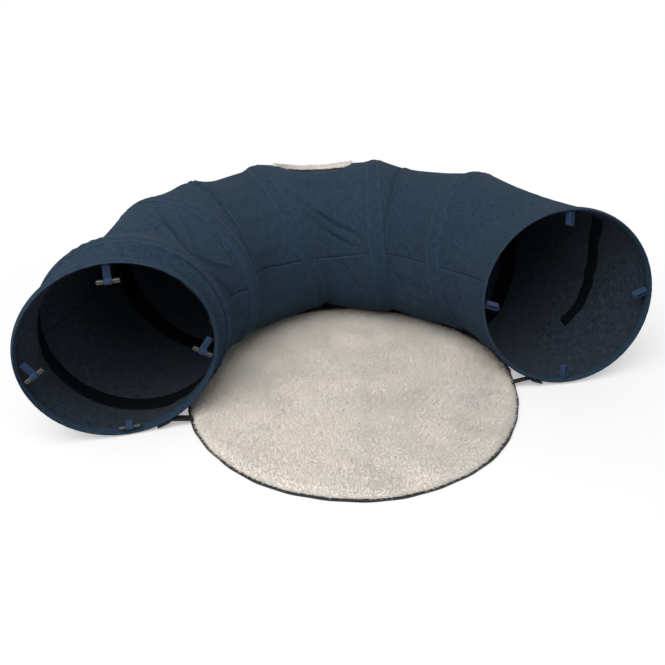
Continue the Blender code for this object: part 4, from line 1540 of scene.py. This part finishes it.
def ribbon(name: str, path: Array, width_way: Array, half_width: float, thickness: float,
           finish: Material, steps: int = 3) -> Object:
    """Make a strip of tape with rounded edges along a path.

    Args:
        name: The strip's name.
        path: The points that the middle of its thickness follows.
        width_way: The direction of its width, 1 long.
        half_width: Half of its width.
        thickness: Its thickness.
        finish: Its material.
        steps: The smooth steps between two points of the path.

    Returns:
        The strip, a closed mesh with its own flat map.
    """
    path = smooth_path(path, steps)
    face_way = unit(np.cross(width_way, np.gradient(path, axis=0)))[:, None, :]
    section = np.array(((-1.0, 0.0), (-0.9, 1.0), (-0.3, 1.08), (0.3, 1.08), (0.9, 1.0), (1.0, 0.0), (0.9, -1.0),
                        (0.3, -1.08), (-0.3, -1.08), (-0.9, -1.0))) * (half_width, thickness / 2.0)
    points = path[:, None, :] + width_way * section[:, :1] + face_way * section[:, 1:]
    return add_mesh(name, points, rod_faces(*points.shape[:2]), [finish], flat_places(path, section[:, 0]),
                    outward=True)


def flat_places(path: Array, across: Array) -> Array:
    """The flat map of a strip: how far across it each point lies and how far along its path."""
    gone = np.concatenate(((0.0,), np.cumsum(np.linalg.norm(np.diff(path, axis=0), axis=1))))
    return np.stack(np.broadcast_arrays(across[None, :], gone[:, None]), axis=-1)


def smooth_path(path: Array, steps: int) -> Array:
    """A path with smooth steps between its points, through all of them."""
    ends = np.concatenate(((2.0 * path[0] - path[1],), path, (2.0 * path[-1] - path[-2],)))
    made = []
    for index in range(1, len(ends) - 2):
        before, start, end, after = ends[index - 1:index + 3]
        for step in range(steps):
            share = step / steps
            made.append(0.5 * (2.0 * start + (end - before) * share
                               + (2.0 * before - 5.0 * start + 4.0 * end - after) * share ** 2
                               + (3.0 * start - before - 3.0 * end + after) * share ** 3))
    made.append(path[-1])
    return np.array(made)


@dataclass
class MouthFitting:
    """What the toggles and the end loops share: where their webbing is sewn and how it hangs."""

    place: Place
    half_width: float = 0.0048
    thickness: float = 0.0012
    tape_facets: float = 32.0

    def droop(self, hoop: Hoop, droop: float) -> Array:
        """The way that webbing hangs from a mouth: inwards at the top, and inwards and down at the sides."""
        turn = math.radians(droop) * abs(math.cos(math.radians(self.place.value)))
        return -hoop.directions(np.array(self.place.value)) * math.cos(turn) - hoop.up * math.sin(turn)

    def root_radius(self, hoop: Hoop, hang: Array) -> float:
        """How far out the webbing's sewn end lies, clear of the hem's inner tape and its facets."""
        flat_relief = self.half_width * math.tan(math.pi / self.tape_facets)
        inward = float(-hang @ hoop.directions(np.array(self.place.value)))
        corner_relief = self.half_width * math.sqrt(max(0.0, 1.0 - inward * inward))
        return SIZES.tape_radius - SIZES.clearance - flat_relief - corner_relief


@dataclass
class Toggle(MouthFitting):
    """One toggle of the left mouth: a webbing strap turned round the waist of a moulded bar."""

    strap_length: float = 0.017
    side_droop: float = 55.0
    bar_half_length: float = 0.0145
    bar_radius: float = 0.0032
    waist_radius: float = 0.0026
    waist_half: float = 0.0062
    strap_turn: float = 290.0
    bar_sides: int = 28
    groove_share: float = 0.42
    groove_reach: float = 24.0
    # Where the painted highlight runs round the bar either side of a groove, and how wide it is.
    rail_angle: float = 46.0
    rail_reach: float = 11.0

    def __post_init__(self) -> None:
        """Work out where the strap is sewn, the way it hangs and the bar's centre."""
        hoop = HOOPS[0]
        angle = np.array(self.place.value)
        if self.place is Place.BOTTOM:
            self.hang = -hoop.axis
            radius = self.root_radius(hoop, -hoop.directions(angle)) - self.thickness / 2.0
            self.root = hoop.points(angle, radius, self.strap_length)
            self.bar_way = hoop.radial.copy()
            self.side = hoop.up.copy()
        else:
            self.hang = self.droop(hoop, self.side_droop)
            self.root = hoop.points(angle, self.root_radius(hoop, self.hang))
            self.side = -hoop.axis
            self.bar_way = unit(np.cross(self.hang, self.side))
        self.turn_radius = self.waist_radius + SIZES.clearance + self.thickness / 2.0
        self.centre = self.root + self.hang * (self.strap_length + self.turn_radius) + self.side * self.turn_radius

    def strap_path(self) -> Array:
        """The middle of the strap, from its sewn end down and round the bar."""
        path = [self.root + self.hang * (self.strap_length * step / 4.0) for step in range(4)]
        for step in range(15):
            turn = math.radians(self.strap_turn) * step / 14.0
            path.append(self.centre - self.side * (self.turn_radius * math.cos(turn))
                        + self.hang * (self.turn_radius * math.sin(turn)))
        return np.array(path)

    def build(self, finishes: Finishes) -> None:
        """Make the strap in two pieces, which meet halfway down it, and the bar."""
        word = self.place.word
        path = self.strap_path()
        middle = 2
        upper = ribbon(f"toggle_strap_{word}_upper", path[:middle + 1], self.bar_way, self.half_width,
                       self.thickness, finishes.webbing, 6)
        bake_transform(upper)
        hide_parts(f"toggle_strap_{word}")
        lower = ribbon(f"toggle_strap_{word}_turned", path[middle:], self.bar_way, self.half_width,
                       self.thickness, finishes.webbing)
        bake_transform(lower)
        self.build_bar(finishes)

    def build_bar(self, finishes: Finishes) -> None:
        """Make the bar: a rounded rod with a long groove on its front and back, a slim waist, and a painted highlight
        along the rails beside each groove.
        """
        word = self.place.word
        shares = np.linspace(0.0, 1.0, 5)
        ends = np.stack((self.bar_half_length * (1.0 - 0.1 * shares),
                         self.bar_radius * (0.5 + 0.5 * np.sin(shares * np.pi / 2.0))), axis=-1)
        waist = ((self.waist_half + 0.0006, self.bar_radius), (self.waist_half, self.bar_radius * 0.97),
                 (self.waist_half * 0.9, self.waist_radius), (self.waist_half * 0.5, self.waist_radius * 0.98))
        half = np.concatenate((ends, waist))
        places, radii = np.concatenate((half * (-1.0, 1.0), half[::-1])).T
        turn = steps_round(self.bar_sides, TURN)[None, :]
        from_face = np.degrees(np.arccos(np.clip(np.abs(np.sin(turn)), 0.0, 1.0)))
        groove = 1.0 - self.groove_share * hump(from_face, 0.0, self.groove_reach)
        outside = np.abs(places)[:, None] > self.waist_half
        radius = radii[:, None] * np.where(outside, groove, 1.0)
        points = (self.centre + self.bar_way * places[:, None, None]
                  + (self.hang * np.cos(turn)[..., None] + self.side * np.sin(turn)[..., None]) * radius[..., None])
        faces = rod_faces(*points.shape[:2])
        bar = add_mesh(f"bar_{word}_moulded", points, faces, [finishes.bar], outward=True)
        # Painted highlight: the rails either side of each groove are marked for a lighter colour.
        rail = hump(from_face, self.rail_angle, self.rail_reach) * outside
        rail_highlight = bar.data.attributes.new("rail_highlight", "FLOAT", "POINT")
        rail_highlight.data.foreach_set("value", rail.astype(np.float32).ravel())
        add_modifier(bar, "SUBSURF", levels=1, render_levels=1)
        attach(bar, f"bar_{word}")
        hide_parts(f"toggle_bar_{word}")


@dataclass
class EndLoop(MouthFitting):
    """One webbing loop of the right mouth, sewn to the hem at both its ends."""

    length: float = 0.016
    half_gap: float = 0.0031
    loop_droop: float = 20.0
    turned: float = 28.0

    def build(self, finishes: Finishes) -> None:
        """Make the loop, which rides on the right mouth's hoop."""
        hoop = HOOPS[-1]
        hang = self.droop(hoop, self.loop_droop)
        root = hoop.points(np.array(self.place.value), self.root_radius(hoop, hang) + 0.001)
        side = unit(np.cross(hang, hoop.axis))
        level = unit(np.cross(side, hang))
        turn = math.radians(-self.turned if self.place in (Place.TOP, Place.OUTER) else self.turned)
        width_way = level * math.cos(turn) + side * math.sin(turn)
        foot = (side * math.cos(turn) - level * math.sin(turn)) * self.half_gap
        path = [root - foot, root - foot * 1.06 + hang * (self.length / 2.0)]
        centre = root + hang * self.length
        for step in range(9):
            turn = math.pi * step / 8.0
            path.append(centre - foot * math.cos(turn) + hang * (self.half_gap * math.sin(turn)))
        path += [root + foot * 1.06 + hang * (self.length / 2.0), root + foot]
        loop = ribbon(f"end_loop_{self.place.word}_webbing", np.array(path), width_way, self.half_width,
                      self.thickness, finishes.webbing, 4)
        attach(loop, "hoop_7")
        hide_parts(f"end_loop_{self.place.word}")


@dataclass
class HookTab:
    """One hook-and-loop pair: the patch sewn on a channel near the floor and the mat's tab that grips it."""

    word: str
    hoop: Hoop
    thickness: float = 0.001
    tab_half_width: float = 0.007
    patch_half_width: float = 0.0065
    start_angle: float = 244.0
    end_angle: float = 254.0
    tab_height: float = 0.005
    lap: float = 0.002

    def build(self, mat: PlushMat, finishes: Finishes) -> None:
        """Make the patch on the hoop and the tab on the mat."""
        patch_radius = SIZES.tunnel_radius + SIZES.clearance + self.thickness / 2.0
        tab_radius = patch_radius + self.thickness + SIZES.clearance
        angles = np.linspace(self.start_angle, self.end_angle, 5)
        patch = ribbon(f"hook_patch_{self.word}", self.hoop.points(angles, patch_radius), self.hoop.axis,
                       self.patch_half_width, self.thickness, finishes.hook_tape)
        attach(patch, self.hoop.body)
        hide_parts(f"tunnel_patch_{self.word}")
        grip = self.hoop.points(angles, tab_radius)
        way = grip[0] - np.array((*mat.shift, 0.0))
        way[2] = 0.0
        rim = np.array((*mat.shift, self.tab_height)) + unit(way) * (mat.radius - self.lap)
        tab = ribbon(f"hook_tab_{self.word}", np.concatenate(((rim,), grip)), self.hoop.axis, self.tab_half_width,
                     self.thickness, finishes.hook_tape)
        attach(tab, "mat")
        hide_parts(f"mat_tab_{self.word}")


@dataclass
class Studio:
    """The pale floor, the soft lamps and the camera at the photograph's view."""

    camera_place: tuple[float, float, float] = (-0.037, -0.995, 0.688)
    camera_drop: float = 30.5
    focal_length: float = 46.015
    sensor: float = 36.0
    floor_half: float = 6.0
    floor_drop: float = 0.0004
    floor_tone: float = 0.30
    floor_seen_tone: float = 0.9
    sky: tuple[float, float, float, float] = (0.93, 0.96, 1.0, 1.0)
    sky_strength: float = 0.41
    lamp_colour: tuple[float, float, float] = (1.0, 0.985, 0.96)

    def build(self) -> None:
        """Set up the floor, the world, the lamps and the camera."""
        self.build_floor()
        self.build_world()
        self.add_lamp("lamp_over", (-0.6, -1.1, 1.95), (0.0, 0.05, 0.0), size=2.1, power=58.0)
        self.add_lamp("lamp_right", (1.6, -1.3, 1.6), (0.0, 0.0, 0.1), size=1.2, power=3.0)
        scene = bpy.context.scene
        scene.view_settings.view_transform = "Standard"
        camera = bpy.data.cameras.new("camera")
        camera.sensor_width = self.sensor
        camera.lens = self.focal_length
        view = bpy.data.objects.new("camera", camera)
        view.location = self.camera_place
        view.rotation_euler = (math.radians(90.0 - self.camera_drop), 0.0, 0.0)
        scene.collection.objects.link(view)
        scene.camera = view

    def build_floor(self) -> None:
        """Make a wide white floor that keeps the object's shadow and shows white to the camera."""
        half = self.floor_half
        points = np.array(((-half, -half, 0.0), (half, -half, 0.0), (half, half, 0.0), (-half, half, 0.0)))
        graph = Graph(bpy.data.materials.new("floor_white"))
        seen = graph.seen()
        tones = ((tone, tone, tone, 1.0) for tone in (self.floor_tone, self.floor_seen_tone))
        graph.finish(graph.mixed(seen, *tones), Roughness=0.9, Specular_IOR_Level=0.1)
        place = graph.add("TexCoord").outputs["Object"]
        away = graph.add("VectorMath", {0: place}, operation="LENGTH").outputs["Value"]
        far = graph.add("MapRange", {"Value": away, "From Min": 0.3, "From Max": 0.75, "To Min": 0.35}).outputs[0]
        glow = graph.add("Emission", {"Color": WHITE, "Strength": 1.0})
        graph.show(graph.math("MULTIPLY", seen, far), graph.shader, glow, "Material Output")
        floor = add_mesh("floor", points, [(0, 1, 2, 3)], [graph.owner])
        floor.location.z = -self.floor_drop

    def build_world(self) -> None:
        """Light the scene softly from all round, and show white to the camera."""
        world = bpy.data.worlds.new("studio")
        graph = Graph(world)
        soft = graph.nodes["Background"]
        graph.feed(soft.inputs["Color"], self.sky)
        graph.feed(soft.inputs["Strength"], self.sky_strength)
        white = graph.add("Background", {"Color": WHITE, "Strength": 1.0})
        graph.show(graph.seen(), soft, white, "World Output")
        bpy.context.scene.world = world

    def add_lamp(self, name: str, place: tuple[float, float, float], target: tuple[float, float, float],
                 size: float, power: float) -> None:
        """Add a square soft lamp that faces a target."""
        lamp = bpy.data.lights.new(name, "AREA")
        lamp.shape = "SQUARE"
        lamp.size = size
        lamp.energy = power
        lamp.color = self.lamp_colour
        made = bpy.data.objects.new(name, lamp)
        made.location = place
        way = np.array(target) - np.array(place)
        level = math.hypot(way[0], way[1])
        made.rotation_euler = (math.atan2(level, -way[2]), 0.0, math.atan2(way[1], way[0]) - math.pi / 2.0)
        bpy.context.scene.collection.objects.link(made)


@dataclass
class CatTunnel:
    """The whole tunnel with its mat."""

    finishes: Finishes
    slack_shares: tuple[float, ...] = (0.20, 0.14, 0.06, 0.05, 0.06, 0.06)

    def __post_init__(self) -> None:
        """Lay out the sub-assemblies."""
        self.spans = [ClothSpan(number + 1, slack, FOLDS.get(number + 1, ()))
                      for number, slack in enumerate(self.slack_shares)]
        self.mat = PlushMat()

    def settle(self) -> None:
        settling = Settling()
        soft = [*self.spans, self.mat]
        for piece in soft:
            piece.hang(settling)
        settled = settling.run()
        for piece in soft:
            piece.settle(settled)

    def build(self) -> None:
        """Make every piece and dress the solids that still show."""
        stitches = StitchMaker(self.finishes.thread)
        for hoop in HOOPS:
            HoopSleeve(hoop).build(stitches, self.finishes)
        for span in self.spans:
            for side in Side:
                span.build_panel(side, self.finishes)
            span.build_stitches(stitches)
        PeepholeFacing(self.spans[SIZES.peephole_span]).build(self.finishes)
        LiningBand(self.spans[-1]).build(self.finishes)
        self.mat.build(self.finishes)
        for word, number in (("left", 1), ("back", 4), ("right", 7)):
            HookTab(word, HOOPS[number - 1]).build(self.mat, self.finishes)
        for place in Place:
            Toggle(place).build(self.finishes)
            EndLoop(place).build(self.finishes)
        self.dress_solids()

    def dress_solids(self) -> None:
        """Give the wires, ferrules and wadding their finishes."""
        for name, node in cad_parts.items():
            if name.startswith("hoop_wire") or name.startswith("hoop_ferrule"):
                finish = self.finishes.steel
            elif name == "mat_wadding":
                finish = self.finishes.wadding
            else:
                continue
            node.data.materials.clear()
            node.data.materials.append(finish)


def main() -> None:
    """Build the tunnel and the studio in order."""
    logging.basicConfig(level=logging.INFO, format="%(message)s")
    tunnel = CatTunnel(Finishes())
    tunnel.settle()
    tunnel.build()
    Studio().build()


if __name__ == "__main__":
    main()
